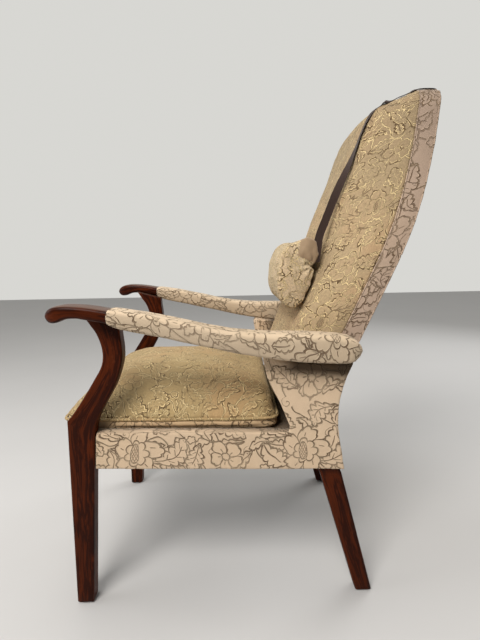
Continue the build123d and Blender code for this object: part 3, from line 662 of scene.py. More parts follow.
def velvet(name, ground, ground2, line, gold, gold_amount, line_amount=1.0, sheen=0.35, rough=0.85, sheen_tint=(0.95, 0.88, 0.78),
           patch=0.35, bump=1.0, rim=0.25, reach=2.4, size=1.0, mottle=0.0, ledge_and_arm_shade=False, upper_shade=None, upright_shade=0.0):
    """cut velvet: short pile ground, with the outlines of the design lower and darker, and a painted highlight along
    their edges
    """
    g = Graph(name)
    p = g.uv()
    if size != 1.0:
        p = g.vmath("MULTIPLY", p, (size, size, 1.0))
    lines, rims, lattice, flower_in, inner_in, leaf_in = floral(g, p, 0.00122 * (size ** 0.6), reach)
    # the pile lies different ways in broad patches
    big = g.noise(p, 4.2, 2.0, 0.55).step(0.36, 0.66)
    mid = g.noise(p, 26.0, 3.0, 0.6)
    fine = g.noise(p, 620.0, 2.0, 0.7)
    fibre = g.noise(g.vmath("MULTIPLY", p, (1.0, 0.35, 1.0)), 1900.0, 1.0, 0.6)
    col = g.mix(big * patch, ground, ground2)
    col = g.mix((mid - 0.5) * 0.55 + 0.18, col, tuple(c * 0.80 for c in ground))
    col = g.mix((fine * 0.5 + fibre * 0.5).step(0.30, 0.72) * 0.22, col, tuple(min(1.0, c * 1.22 + 0.01) for c in ground))
    col = g.mix(flower_in * 0.10 + inner_in * 0.06 + leaf_in * 0.05, col, ground2)
    # painted highlight: some lengths of outline are pale gold, as if catching the light, others dark
    which = g.noise(g.vmath("ADD", p, (5.3, 2.2, 0.0)), 27.0, 2.0, 0.6).step(0.45, 0.56)
    goldness = g.math("MULTIPLY", which, gold_amount)
    linecol = g.mix(goldness, line, gold)
    fade = g.noise(g.vmath("ADD", p, (1.9, 7.7, 0.0)), 9.0, 2.0, 0.55).step(0.25, 0.62)
    amount = lines * (0.55 + 0.45 * fade) * line_amount
    if mottle:
        spots = g.noise(p, 175.0, 2.5, 0.65)
        col = g.mix(spots.step(0.50, 0.66) * mottle, col, tuple(c * 0.42 for c in ground))
        col = g.mix(spots.fall(0.34, 0.47) * (mottle * 0.55), col, gold)
    if upright_shade:
        # painted shade: upright faces are darker than the top, standing in for the pile's sheen under light from above
        _, _, nz_ = g.split(g.coord("Normal"))
        col = g.mix(nz_.fall(-0.1, 0.75) * upright_shade, col, tuple(c * 0.62 for c in ground))
    if upper_shade is not None:
        # painted shade: the cloth is darker higher up
        _, _, hz = g.split(g.coord("Object"))
        col = g.mix(hz.step(upper_shade[0], upper_shade[1]) * upper_shade[2], col, tuple(c * 0.55 for c in ground))
    # painted highlight and shade: a halo beside the outlines, pale gold beside gold lengths and darker ground beside
    # dark ones
    rimcol = g.mix(goldness, gold, tuple(c * 0.50 for c in ground))
    col = g.mix(rims * (0.45 + 0.55 * fade) * rim, col, rimcol)
    col = g.mix(amount, col, linecol)
    col = g.mix(lattice * 0.62 * line_amount, col, linecol)
    if ledge_and_arm_shade:
        # painted shade: the up-facing ledge below the cushion is darkened, and a painted shadow darkens the panel just
        # under the arm pad
        _, cy_, cz_ = g.split(g.coord("Object"))
        _, _, up_ = g.split(g.coord("Normal"))
        col = g.mix(up_.step(0.35, 0.85) * cz_.fall(0.384, 0.388) * 0.38, col, tuple(c * 0.66 for c in ground))
        under = (0.5345 - (cy_ - 0.025) * 0.085) - cz_
        col = g.mix(under.fall(0.024, 0.047) * cy_.step(0.035, 0.085) * 0.93, col, (0.050, 0.029, 0.013))
    g.set(Base_Color=col, Roughness=rough, Sheen_Weight=sheen, Sheen_Roughness=0.42, Sheen_Tint=sheen_tint)
    g.bsdf.inputs["Specular IOR Level"].default_value = 0.22
    pile = fine * 0.35 + fibre * 0.35 + mid * 0.5
    height = pile * 0.30 - lines * 1.0 + rims * 0.25 - lattice * 0.7
    b = g.bump(height, 0.9 * bump, 0.0022)
    g.put(b, g.bsdf.inputs["Normal"])
    return g.mat


def plain_pile(name, c1, c2):
    """the smooth back of the cloth, without the design"""
    g = Graph(name)
    p = g.uv()
    big = g.noise(p, 14.0, 3.0, 0.55).step(0.35, 0.65)
    fine = g.noise(p, 700.0, 2.0, 0.7)
    col = g.mix(big * 0.8, c1, c2)
    col = g.mix(fine.step(0.3, 0.7) * 0.2, col, tuple(c * 0.7 for c in c1))
    g.set(Base_Color=col, Roughness=0.8, Sheen_Weight=0.25)
    g.bsdf.inputs["Specular IOR Level"].default_value = 0.22
    g.put(g.bump(fine + big * 0.5, 0.3, 0.0008), g.bsdf.inputs["Normal"])
    return g.mat


def wood(name, dark, light, scale=1.0, rough=0.27, coat=0.35, bump=0.12, worn=None, along="uv"):
    """varnished or bare timber, with grain along the map's first direction"""
    g = Graph(name)
    if along == "uv":
        p = g.uv()
    else:
        ox, oy, oz = g.split(g.coord())
        p = g.join(ox + oz * 0.83, oy * 0.31 + oz * 0.42 + ox * 0.11)
    q = g.vmath("MULTIPLY", p, (1.0 * scale, 9.0 * scale, 1.0))
    n1 = g.noise(q, 9.0, 4.0, 0.6, distortion=0.4)
    n2 = g.noise(g.vmath("MULTIPLY", p, (1.0, 26.0, 1.0)), 34.0, 3.0, 0.65)
    pores = g.noise(g.vmath("MULTIPLY", p, (1.0, 14.0, 1.0)), 190.0, 2.0, 0.7).step(0.60, 0.74)
    figure = ((p_x(g, q, 1) * 3.2 + n1 * 5.0) * 3.1).sin() * 0.5 + 0.5
    fac = figure * 0.42 + n1 * 0.36 + n2 * 0.30
    col = g.mix(fac.step(0.25, 0.88), dark, light)
    col = g.mix(pores * 0.45, col, tuple(c * 0.45 for c in dark))
    cloud = g.noise(p, 7.0, 2.0, 0.5)
    col = g.mix(cloud.step(0.35, 0.75) * 0.35, col, tuple(c * 0.62 for c in dark))
    if worn is not None:
        wear = g.noise(g.coord(), 55.0, 3.0, 0.6, dims="3D").step(0.63, 0.76)
        col = g.mix(wear * 0.25, col, worn)
        # painted highlight: the up-facing tops of the arms are made paler, standing in for the reflection on them
        _, _, up_ = g.split(g.coord("Normal"))
        _, _, z_ = g.split(g.coord("Object"))
        col = g.mix(up_.step(0.78, 0.97) * z_.step(0.595, 0.625) * 0.42, col, (0.21, 0.145, 0.11))
    r = rough + (n2 - 0.5) * 0.10 + (g.noise(p, 30.0, 3.0, 0.6) - 0.5) * 0.12
    g.set(Base_Color=col, Roughness=r, Coat_Weight=coat, Coat_Roughness=0.18)
    g.bsdf.inputs["Specular IOR Level"].default_value = 0.08
    g.put(g.bump(n2 * 0.5 - pores * 0.8 + n1 * 0.3, bump, 0.0006), g.bsdf.inputs["Normal"])
    return g.mat


def p_x(g, v, i):
    return g.split(v)[i]


def woven(name, warp_c, weft_c, pitch, contrast=0.5, rough=0.85, sheen=0.1, coord="uv", gaps=None, bump=0.6):
    """plain weave over a map in metres: pitch is one thread's width"""
    g = Graph(name)
    p = g.uv() if coord == "uv" else g.coord()
    x, y, z = g.split(p)
    if coord != "uv":
        x, y = x + z * 0.37, y + z * 0.61
    wob = (g.noise(p, 60.0, 2.0, 0.5, dims="3D" if coord != "uv" else "2D") - 0.5) * pitch * 1.2
    k = math.pi / pitch
    sx = ((x + wob) * k).sin()
    sy = ((y + wob) * k).sin()
    over = (sx * sy).step(-0.25, 0.25)
    tx = sx.abs()
    ty = sy.abs()
    thread = over * tx + (1.0 - over) * ty
    slub = g.noise(p, 240.0, 3.0, 0.65, dims="3D" if coord != "uv" else "2D")
    col = g.mix(over, warp_c, weft_c)
    col = g.mix(thread.fall(0.15, 0.75) * contrast, col, tuple(c * 0.35 for c in warp_c))
    col = g.mix((slub - 0.35).max(0.0) * 0.8, col, tuple(min(1.0, c * 1.35) for c in weft_c))
    stain = g.noise(p, 11.0, 2.0, 0.5, dims="3D" if coord != "uv" else "2D").step(0.4, 0.7)
    col = g.mix(stain * 0.18, col, tuple(c * 0.7 for c in warp_c))
    g.set(Base_Color=col, Roughness=rough, Sheen_Weight=sheen)
    g.bsdf.inputs["Specular IOR Level"].default_value = 0.2
    g.put(g.bump(thread + slub * 0.4, bump, pitch * 0.35), g.bsdf.inputs["Normal"])
    return g.mat


def metal(name, col, rough=0.32, scratch=1.0):
    g = Graph(name)
    p = g.coord()
    n = g.noise(p, 900.0, 3.0, 0.6, dims="3D")
    s = g.noise(g.vmath("MULTIPLY", p, (30.0, 600.0, 600.0)), 3.0, 2.0, 0.6, dims="3D")
    dull = g.noise(p, 40.0, 3.0, 0.6, dims="3D").step(0.45, 0.72)
    c = g.mix(dull * 0.45, col, tuple(v * 0.55 for v in col))
    g.set(Base_Color=c, Roughness=rough + s * 0.22 + dull * 0.15, Metallic=1.0)
    g.put(g.bump(n * 0.4 + s * 0.6, 0.15 * scratch, 0.0003), g.bsdf.inputs["Normal"])
    return g.mat


def coil_steel(name, col):
    """close wound spring wire, with the turns across the chair's width"""
    g = Graph(name)
    p = g.coord()
    x, y, z = g.split(p)
    turn = (x * (2 * math.pi / 0.0021)).sin()
    grime = g.noise(p, 60.0, 3.0, 0.6, dims="3D").step(0.42, 0.7)
    c = g.mix(turn.fall(-0.9, 0.2) * 0.75, col, tuple(v * 0.2 for v in col))
    c = g.mix(grime * 0.4, c, (0.19, 0.12, 0.07))
    g.set(Base_Color=c, Roughness=0.34 + grime * 0.25, Metallic=0.9)
    g.put(g.bump(turn, 0.7, 0.0006), g.bsdf.inputs["Normal"])
    return g.mat


def plastic(name, col, rough=0.5):
    g = Graph(name)
    p = g.coord()
    n = g.noise(p, 1500.0, 2.0, 0.6, dims="3D")
    scuff = g.noise(p, 120.0, 4.0, 0.65, dims="3D").step(0.55, 0.75)
    c = g.mix(scuff * 0.35, col, tuple(min(1, v * 1.8 + 0.02) for v in col))
    g.set(Base_Color=c, Roughness=rough + scuff * 0.2)
    g.put(g.bump(n + scuff * 0.5, 0.2, 0.0002), g.bsdf.inputs["Normal"])
    return g.mat


LINE = srgb(96, 74, 54)
GOLD = srgb(234, 208, 156)
# painted light and shade: the one cut velvet is split into lit and shaded copies, a pale pinkish ground with brown
# outlines on the upright outer panels and sleeves, a tan ground with gold outlines on the seat, back and pillow, and a
# darker ground on the cushion's boxing
M_PANEL = velvet("velvet_panel", srgb(205, 182, 153), srgb(197, 171, 137), LINE, srgb(226, 206, 172), 0.15, 0.90, sheen=0.15, rim=0.40)
M_SLEEVE = velvet("velvet_sleeve", srgb(210, 188, 160), srgb(200, 176, 142), LINE, srgb(226, 206, 172), 0.15, 0.90, sheen=0.15, rim=0.40, upright_shade=0.62)
M_SIDE = velvet("velvet_side", srgb(209, 184, 155), srgb(201, 174, 141), LINE, srgb(226, 206, 172), 0.15, 0.90, sheen=0.15, rim=0.40, ledge_and_arm_shade=True)
M_BOX = velvet("velvet_boxing", srgb(194, 166, 130), srgb(184, 156, 116), LINE, srgb(206, 182, 140), 0.15, 0.85, sheen=0.10, rim=0.5)
M_BORDER = velvet("velvet_border", srgb(178, 155, 136), srgb(166, 143, 118), LINE, srgb(206, 182, 150), 0.15, 0.90, sheen=0.12, rim=0.4, upper_shade=(0.78, 1.06, 0.56))
M_SEAT = velvet("velvet_seat", srgb(164, 141, 100), srgb(176, 141, 101), srgb(88, 66, 38), GOLD, 0.90, 0.88, sheen=0.12, rim=0.85, sheen_tint=(0.95, 0.87, 0.68), patch=0.7, reach=3.3, size=1.15, mottle=0.12)
M_FLANK = velvet("velvet_back", srgb(166, 144, 112), srgb(178, 143, 107), srgb(88, 64, 40), GOLD, 0.85, 0.90, sheen=0.14, rim=0.72, sheen_tint=(0.95, 0.88, 0.70), patch=0.7, reach=3.0, size=1.3, mottle=0.22, upper_shade=(0.74, 1.04, 0.46))
M_WOOD = wood("mahogany", (0.019, 0.0028, 0.0005), (0.083, 0.0140, 0.0018), rough=0.38, coat=0.02, worn=(0.13, 0.035, 0.012))
M_PILLOW = velvet("velvet_pillow", srgb(198, 178, 146), srgb(194, 166, 134), srgb(84, 62, 40), GOLD, 0.80, 0.92, sheen=0.12, rim=0.85, sheen_tint=(0.95, 0.88, 0.70), patch=0.7, reach=3.3, size=1.6, mottle=0.42)
M_TAB = plain_pile("velvet_tab", srgb(162, 138, 110), srgb(140, 116, 90))
M_BEECH = wood("beech", srgb(176, 136, 92), srgb(215, 180, 134), rough=0.62, coat=0.0, bump=0.3, along="object")
M_STRAP = woven("strap_webbing", srgb(48, 33, 27), srgb(60, 43, 35), 0.0011, 0.55, 0.75, 0.15)
M_CANVAS = woven("platform_canvas", srgb(92, 74, 54), srgb(108, 89, 66), 0.0009, 0.5)
M_HESSIAN = woven("hessian", srgb(150, 118, 76), srgb(176, 142, 94), 0.0022, 0.9, coord="object")
M_CAMBRIC = woven("cambric", srgb(34, 34, 36), srgb(46, 46, 48), 0.0006, 0.5, 0.9, 0.05)
M_STEEL = metal("zinc_steel", (0.60, 0.59, 0.56))
M_SPRING = coil_steel("spring_steel", (0.46, 0.44, 0.41))
M_GLIDE = plastic("glide_nylon", (0.10, 0.065, 0.045))


def wear(node, mat, map_=True):
    """gives a carried-over CAD node its material (map_ is not used)"""
    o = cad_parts[node]
    for i in range(len(o.material_slots)):
        o.material_slots[i].link = "OBJECT"
        o.material_slots[i].material = mat
    return o


def piece(ob, body, slot, *nodes):
    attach(ob, body)
    if nodes:
        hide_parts(*nodes)
    return ob


BODY = "chair_frame"

# ------------------------------------------------------------------ camera, light, floor
cam_data = bpy.data.cameras.new("camera")
cam = bpy.data.objects.new("camera", cam_data)
COLL.objects.link(cam)
yaw, pitch, roll = math.radians(0.390), math.radians(8.030), math.radians(-1.066)
c_f = Vector((-math.cos(yaw), math.sin(yaw), 0))
c_r = Vector((math.sin(yaw), math.cos(yaw), 0))
c_u = Vector((0, 0, 1))
c_fw = c_f * math.cos(pitch) - c_u * math.sin(pitch)
c_u2 = c_u * math.cos(pitch) + c_f * math.sin(pitch)
c_right = c_r * math.cos(roll) + c_u2 * math.sin(roll)
c_up = c_u2 * math.cos(roll) - c_r * math.sin(roll)
m = Matrix.Identity(4)
for i in range(3):
    m[i][0], m[i][1], m[i][2] = c_right[i], c_up[i], -c_fw[i]
m.translation = Vector((1.2251, (335.1 + FOOT_Y) / 1000, 0.7376))
cam.matrix_world = m
cam_data.sensor_fit = "AUTO"
cam_data.sensor_width = 36.0
cam_data.lens = 27.06
cam_data.clip_start = 0.02
cam_data.clip_end = 60
scene.camera = cam


def area(name, at_, to, size, energy, col=(1, 1, 1), size_y=None):
    d = bpy.data.lights.new(name, "AREA")
    d.energy = energy
    d.color = col
    d.size = size
    if size_y:
        d.shape = "RECTANGLE"
        d.size_y = size_y
    o = bpy.data.objects.new(name, d)
    o.location = at_
    o.rotation_euler = (Vector(to) - Vector(at_)).to_track_quat("-Z", "Y").to_euler()
    COLL.objects.link(o)
    return o


area("key", (2.45, -1.1, 3.0), (0, 0, 0.45), 1.5, 126, (1.0, 0.975, 0.94))
area("overhead", (0.1, -0.5, 3.1), (0, 0, 0.4), 1.2, 14, (1.0, 0.98, 0.95))
area("front_fill", (0.3, -2.8, 1.5), (0, 0, 0.6), 1.6, 21, (0.98, 0.99, 1.0))
area("back_fill", (-2.2, 2.1, 2.0), (0, 0, 0.6), 1.8, 30, (0.98, 0.99, 1.0))
world = bpy.data.worlds.new("studio")
scene.world = world
world.use_nodes = True
bg = next(n for n in world.node_tree.nodes if n.type == "BACKGROUND")
wt = world.node_tree
w_tc = wt.nodes.new("ShaderNodeTexCoord")
w_sep = wt.nodes.new("ShaderNodeSeparateXYZ")
w_ramp = wt.nodes.new("ShaderNodeMapRange")
w_mix = wt.nodes.new("ShaderNodeMix")
w_mix.data_type = "RGBA"
wt.links.new(w_tc.outputs["Generated"], w_sep.inputs[0])
wt.links.new(w_sep.outputs[0], w_ramp.inputs[0])
w_ramp.interpolation_type = "SMOOTHSTEP"
w_ramp.inputs[1].default_value, w_ramp.inputs[2].default_value = -0.35, 0.35
wt.links.new(w_ramp.outputs[0], w_mix.inputs[0])
w_mix.inputs[6].default_value = (0.685, 0.680, 0.650, 1)
w_mix.inputs[7].default_value = (0.13, 0.13, 0.135, 1)
wt.links.new(w_mix.outputs[2], bg.inputs[0])
bg.inputs[1].default_value = 1.0
scene.view_settings.view_transform = "Standard"
scene.view_settings.look = "None"

fl = Graph("studio_floor")
fn = fl.noise(fl.coord(), 2.2, 3.0, 0.5, dims="3D")
fl.set(Base_Color=fl.mix(fn.step(0.3, 0.7) * 0.25, (0.56, 0.55, 0.54), (0.52, 0.51, 0.50)), Roughness=0.75)
bm = bmesh.new()
bmesh.ops.create_grid(bm, x_segments=24, y_segments=24, size=7.0)
me = bpy.data.meshes.new("floor")
bm.to_mesh(me)
bm.free()
floor = bpy.data.objects.new("floor", me)
COLL.objects.link(floor)
me.materials.append(fl.mat)

# ------------------------------------------------------------------ timber
def member(name, fronts, rears, x0, x1, r, mat, k=4, m=3, ends=1.6):
    """a shaped timber between a front line and a rear line, both (y, z) in mm and of the same length"""
    rings = []
    a, b = np.array(fronts, float), np.array(rears, float)
    for i in range(len(a)):
        c = (a[i] + b[i]) / 2
        d = a[i] - b[i]
        L = np.linalg.norm(d)
        A = np.array([0, d[0], d[1]]) / L
        rings.append((P((x0 + x1) / 2, c[0], c[1]), A, L / 2000, (x1 - x0) / 2000))
    out = []
    for i, (c, A, ha, hb) in enumerate(rings):
        rad = min(r / 1000, ha * 0.9, hb * 0.9)
        out.append(rrect(c, A, (1, 0, 0), ha, hb, rad, k, m))
    # slightly softened ends
    for end, nb in ((0, 1), (-1, -2)):
        c, A, ha, hb = rings[end]
        c2 = rings[nb][0]
        d = unit(c - c2) * ends / 1000
        e = ends / 1000
        tip = rrect(c, A, (1, 0, 0), ha - e, hb - e, min(r / 1000, ha * 0.8), k, m)
        sh = rrect(c - d, A, (1, 0, 0), ha, hb, min(r / 1000, ha * 0.9), k, m)
        if end == 0:
            out = [tip] + [rrect(c - d * 0.35, A, (1, 0, 0), ha - e * 0.3, hb - e * 0.3, min(r / 1000, ha * 0.9), k, m), sh] + out[1:]
        else:
            out = out[:-1] + [sh, rrect(c - d * 0.35, A, (1, 0, 0), ha - e * 0.3, hb - e * 0.3, min(r / 1000, ha * 0.9), k, m)] + [tip]
    V, F, uv = loft(out)
    return mesh_object(name, V, F, uv, mat)


def both(ob, body, slot, node, uv_shift=(0.37, 0.21)):
    """ob stands on the left side; its mirror image goes on the right"""
    o2 = mirrored(ob, ob.name.replace("left", "right"))
    shift_uv(o2, *uv_shift)
    for o, side in ((ob, "left"), (o2, "right")):
        nodes = [n + "_" + side for n in ([node] if isinstance(node, str) else node)]
        piece(o, body, slot, *nodes)
    return ob, o2


# front legs
lf = spline([(31, 622.0)] + LEG_FRONT, 44)
lr = spline([(99, 603.5)] + LEG_REAR, 44)
n_low = 16
low_f = np.linspace(LEG_FRONT[-1], (-17.0, 3.0), n_low)[1:]
low_r = np.linspace(LEG_REAR[-1], (18.0, 3.0), n_low)[1:]
leg = member("front_leg_left_wood", np.vstack([lf, low_f]), np.vstack([lr, low_r]), 252, 288, 4.2, M_WOOD)
both(leg, BODY, "mahogany_stained_wood", "front_leg")

# rear legs
rf = np.vstack([[(496.5, 366.0), (497, 330), (497, 305)], spline([(497, 305), (498, 296), (500.5, 285), (505, 272)], 6)[1:], np.linspace((505, 272), (582.5, 3.0), 14)[1:]])
rr_ = np.vstack([[(532.0, 366.0), (532.5, 330), (534, 305)], spline([(534, 305), (538, 297), (544, 286), (549.5, 274)], 6)[1:], np.linspace((549.5, 274), (617.5, 3.0), 14)[1:]])
rleg = member("rear_leg_left_wood", rf, rr_, 235.5, 269.5, 4.0, M_WOOD)
both(rleg, BODY, "mahogany_stained_wood", "rear_leg", uv_shift=(0.61, 0.43))

# arms: bare wood in front with its rounded scroll, and the tongue that runs on inside the padded sleeve
top = spline(ARM_TOP, 46)
low = spline(ARM_LOW, 46)
rings = []
core_top = [(556, 562), (480, 565), (401, 567.5), (321, 574.5), (241, 591.5), (162, 609.5), (120, 617)]
core_low = [(556, 527), (480, 529), (401, 537.5), (321, 552), (241, 571.5), (162, 589.5), (120, 599)]
for (ty, tz), (by, bz) in zip(core_top, core_low):
    rings.append(rrect(P(296, (ty + by) / 2, (tz + bz) / 2), unit((0, 0, 1)), (1, 0, 0), (tz - bz) / 2000, 0.025, 0.004, 5, 5))
for i in range(len(top)):
    t, b = top[i], low[i]
    c = (t + b) / 2
    d = t - b
    L = max(np.linalg.norm(d), 1.4)
    A = unit(np.array([0, d[0], d[1]]) + np.array([0, 0, 1e-6]))
    y = c[0]
    hw = 30.0 * (1 - max(0.0, (12 - y) / 46.8) ** 2.7) ** 0.5 if y < 12 else 30.0
    hw = max(hw, 4.0)
    rt = min(7.0, L * 0.46, hw * 0.8) / 1000
    rings.append(rrect(P(298, c[0], c[1]), A, (1, 0, 0), L / 2000, hw / 1000, rt, 5, 5, bulge_a=0.0009))
V, F, uv = loft(rings)
arm = mesh_object("arm_left_wood", V, F, uv, M_WOOD)
both(arm, BODY, "mahogany_stained_wood", "arm", uv_shift=(0.83, 0.17))

# ------------------------------------------------------------------ padded arm sleeves
def sleeve():
    ys = np.r_[np.linspace(88.6, 94, 3), np.linspace(97, 548, 118), 548 + 27.4 * np.sin(np.linspace(0.08, 1, 12) * math.pi / 2)]
    rings = []
    for i, y in enumerate(ys):
        tz, bz = np.interp(y, [p[0] for p in PAD_TOP], [p[1] for p in PAD_TOP]), np.interp(y, [p[0] for p in PAD_LOW], [p[1] for p in PAD_LOW])
        h = (tz - bz) / 2
        w = 33.2
        edge = 0.0
        if y < 97:
            k = (97 - y) / 8.4
            edge = 2.6 * k ** 2
        if y > 540:
            w -= 9 * ((y - 540) / 35.5) ** 2.5
        h = max(h - edge, 1.0)
        c = P(296.8, y, (tz + bz) / 2)
        r = [min(13, h * 0.55), min(13, h * 0.55), min(8, h * 0.5), min(8, h * 0.5)]
        # rrect's first direction is up, second is +X: corners run (+,+), (-,+), (-,-), (+,-)
        rings.append(rrect(c, (0, 0, 1), (1, 0, 0), h / 1000, (w - edge) / 1000,
                           [r[0] / 1000, r[2] / 1000, r[3] / 1000, r[1] / 1000], 5, 7, bulge_a=0.0012, bulge_b=0.0010))
    V, F, uv = loft(rings)
    ob = mesh_object("arm_sleeve_left", V, F, uv, M_SLEEVE)
    co, nn = coords(ob), normals(ob)
    y = co[:, 1] * 1000 - FOOT_Y
    # the stuffing's slight unevenness, and drag wrinkles near the ends and the leg
    d = noise3(co, 17.0) * 1.6 + noise3(co + 3.1, 42.0) * 0.7
    ang = (y - 100) / 9.5 + co[:, 2] * 220
    d += np.sin(ang) * 0.45 * np.exp(-((y - 118) / 26) ** 2)
    d += np.sin((co[:, 0] * 420) + noise3(co, 30) * 3) * 0.45 * np.exp(-((y - 560) / 16) ** 2)
    fade = smoothstep(88.6, 102, y)
    set_coords(ob, co + nn * (d * fade)[:, None] / 1000 * 0.8)
    return ob


sl = sleeve()
both(sl, BODY, "cut_velvet", "arm_pad", uv_shift=(0.5, 0.33))


# ------------------------------------------------------------------ side covers with the wings that rise to the arms
def cover_bottom(y):
    return 303.2 - (y - 36) * 0.0225


def cover_top(y):
    return 380.6 - (y - 42) * 0.0160


def pad_low(y):
    return float(np.interp(y, [p[0] for p in PAD_LOW], [p[1] for p in PAD_LOW]))


def slab(poly, x0, x1, shift=None, layers=None):
    """closed solid from a side profile of (y, z); shift(x, points) may move a layer's points"""
    poly = np.array(poly, float)
    xs = layers if layers is not None else [x0, x1]
    rings = []
    for x in xs:
        q = poly if shift is None else shift(x, poly.copy())
        rings.append(P(x, q[:, 0], q[:, 1]))
    V = np.vstack(rings)
    n = len(poly)
    F = []
    for i in range(len(xs) - 1):
        for j in range(n):
            k = (j + 1) % n
            F.append((i * n + j, i * n + k, (i + 1) * n + k, (i + 1) * n + j))
    F.append(tuple(range(n))[::-1])
    F.append(tuple(range((len(xs) - 1) * n, len(xs) * n)))
    return mesh_object("slab", V, F, None, None)


def side_cover():
    rear_low = [p for p in REAR if 291 <= p[1] <= 500]
    wf = [tuple(p) for p in spline(WING_FRONT, 26)]
    under = [(y, pad_low(y) + 0.6) for y in (562, 550, 531, 493, 454, 416, 394)]
    top_edge = [(436, cover_top(436) - 4.8), (420, cover_top(420) - 3.8), (300, cover_top(300) - 4.0), (42.0, cover_top(42.0) - 4.0)]
    low = lambda yy: cover_bottom(yy) - 4.2
    flat_panel = slab([(36.8, low(36.8)), (553, low(553))] + rear_low[1:] + [(569, 513)] + under + wf[1:-1] + top_edge, 275.4, 282.4)
    lo_w = [(448, 368), (500, 367), (534, 366)] + [(p[0] - 8, p[1]) for p in REAR if 366 <= p[1] <= 500][1:] + [(556, 512)]
    wing_poly = lo_w + [(y, pad_low(y) + 0.3) for y in (548, 531, 493, 454, 416, 396)] + wf[1:-1]
    n_front = len(wf) - 2
    xs = [226.4, 227.6, 230, 233.5, 238, 244, 252, 262, 270, 275, 278.5, 280.6, 281.9]

    def shift(x, q):
        r = 13.0
        d = min(x - 226.4, 281.9 - x)
        back = r - math.sqrt(max(0.0, r * r - (r - min(d, r)) ** 2))
        if x < 250:
            back += 7.0 * float(1 - smoothstep(236, 262, x))
        q[-n_front:, 0] += back
        q[0, 0] += back * 0.8
        return q
    wing = slab(wing_poly, 0, 0, shift, xs)
    ob = join("side_cover_left_fabric", [flat_panel, wing], M_SIDE)
    remesh(ob, 0.0024)
    relax(ob, 4, 0.5)
    co, nn = coords(ob), normals(ob)
    y = co[:, 1] * 1000 - FOOT_Y
    z = co[:, 2] * 1000
    x = co[:, 0] * 1000
    out = smoothstep(0.3, 0.8, nn[:, 0]) * (x > 276)
    # lightly padded faces
    d = 0.9 * noise3(co, 22.0) + 0.5 * noise3(co + 2.0, 55.0)
    # gathers under the arm, running down from the front corner, and fuller cloth round the wing's front edge
    fan = np.arctan2(y - 385, 560 - z)
    near = np.exp(-((y - 404) / 26) ** 2) * smoothstep(440, 505, z)
    d += near * (np.sin(fan * 58 + noise3(co, 26) * 2.4) * 1.15 + 0.3)
    near2 = np.exp(-((y - 470) / 60) ** 2) * smoothstep(480, 530, z)
    d += near2 * np.sin(y / 6.2 + noise3(co, 18) * 3) * 0.45
    # a soft drag line from the seat's corner up the wing
    line = np.abs((y - 436) - (z - 376) * -0.30)
    d += -0.7 * np.exp(-(line / 5.0) ** 2) * smoothstep(372, 386, z) * (1 - smoothstep(470, 500, z)) * out
    d = np.clip(d, -1.6, 1.5)
    gap = np.interp(y, [p[0] for p in PAD_LOW], [p[1] for p in PAD_LOW]) - z
    d += -4.2 * out * (1 - smoothstep(5, 15, gap)) * smoothstep(398, 425, y)
    new = co + nn * d[:, None] / 1000
    new[:, 0] = np.minimum(new[:, 0], 0.2838)
    set_coords(ob, new)
    # the cloth turns over the rail's top
    rt = lambda yy: 374.0 - 0.0174 * (yy - 42.2)
    strip = slab([(42.5, rt(42.5) + 0.4), (446, rt(446) + 0.4), (446, rt(446) + 1.9), (42.5, rt(42.5) + 1.9)], 251.4, 276.6)
    ob = join("side_cover_left_fabric", [ob, strip], M_SIDE)
    map_uv(ob, lambda c, n: np.stack([c[:, 1] + np.where(np.abs(n[:, 0]) > 0.55, 0, -n[:, 1] * 0.0) + np.clip(0.2824 - c[:, 0], 0, 0.03) * np.where(n[:, 1] < -0.4, -1.0, 0.0),
                                      c[:, 2] + np.where(n[:, 2] > 0.6, 0.2824 - c[:, 0], 0.0)], 1) + np.where(c[:, :1] < 0.24, 0.23, 0.0) * np.array([[1, 1]]))
    return ob


sc = side_cover()
both(sc, BODY, "cut_velvet", ("side_cover", "side_pad"), uv_shift=(0.29, 0.47))

# front rail's cover
rings = []
for x in np.r_[-251.6, -251.0, np.linspace(-249, 249, 60), 251.0, 251.6]:
    e = 1.4 * (abs(x) > 250.5)
    w = noise3(P([x], [0.0], [330.0]), 20.0)[0] * 0.5
    rings.append(rrect(P(x, 7.0, 330.2), (0, -1, 0), (0, 0, 1), (15.2 - e + w * 0.4) / 1000, (27.0 - e) / 1000, 0.0065, 5, 8, bulge_a=0.0016))
V, F, uv = loft(rings)
rail = mesh_object("front_rail_fabric", V, F, uv + np.array([0.13, 0.55]), M_PANEL)
piece(rail, BODY, "cut_velvet", "front_rail_cover")


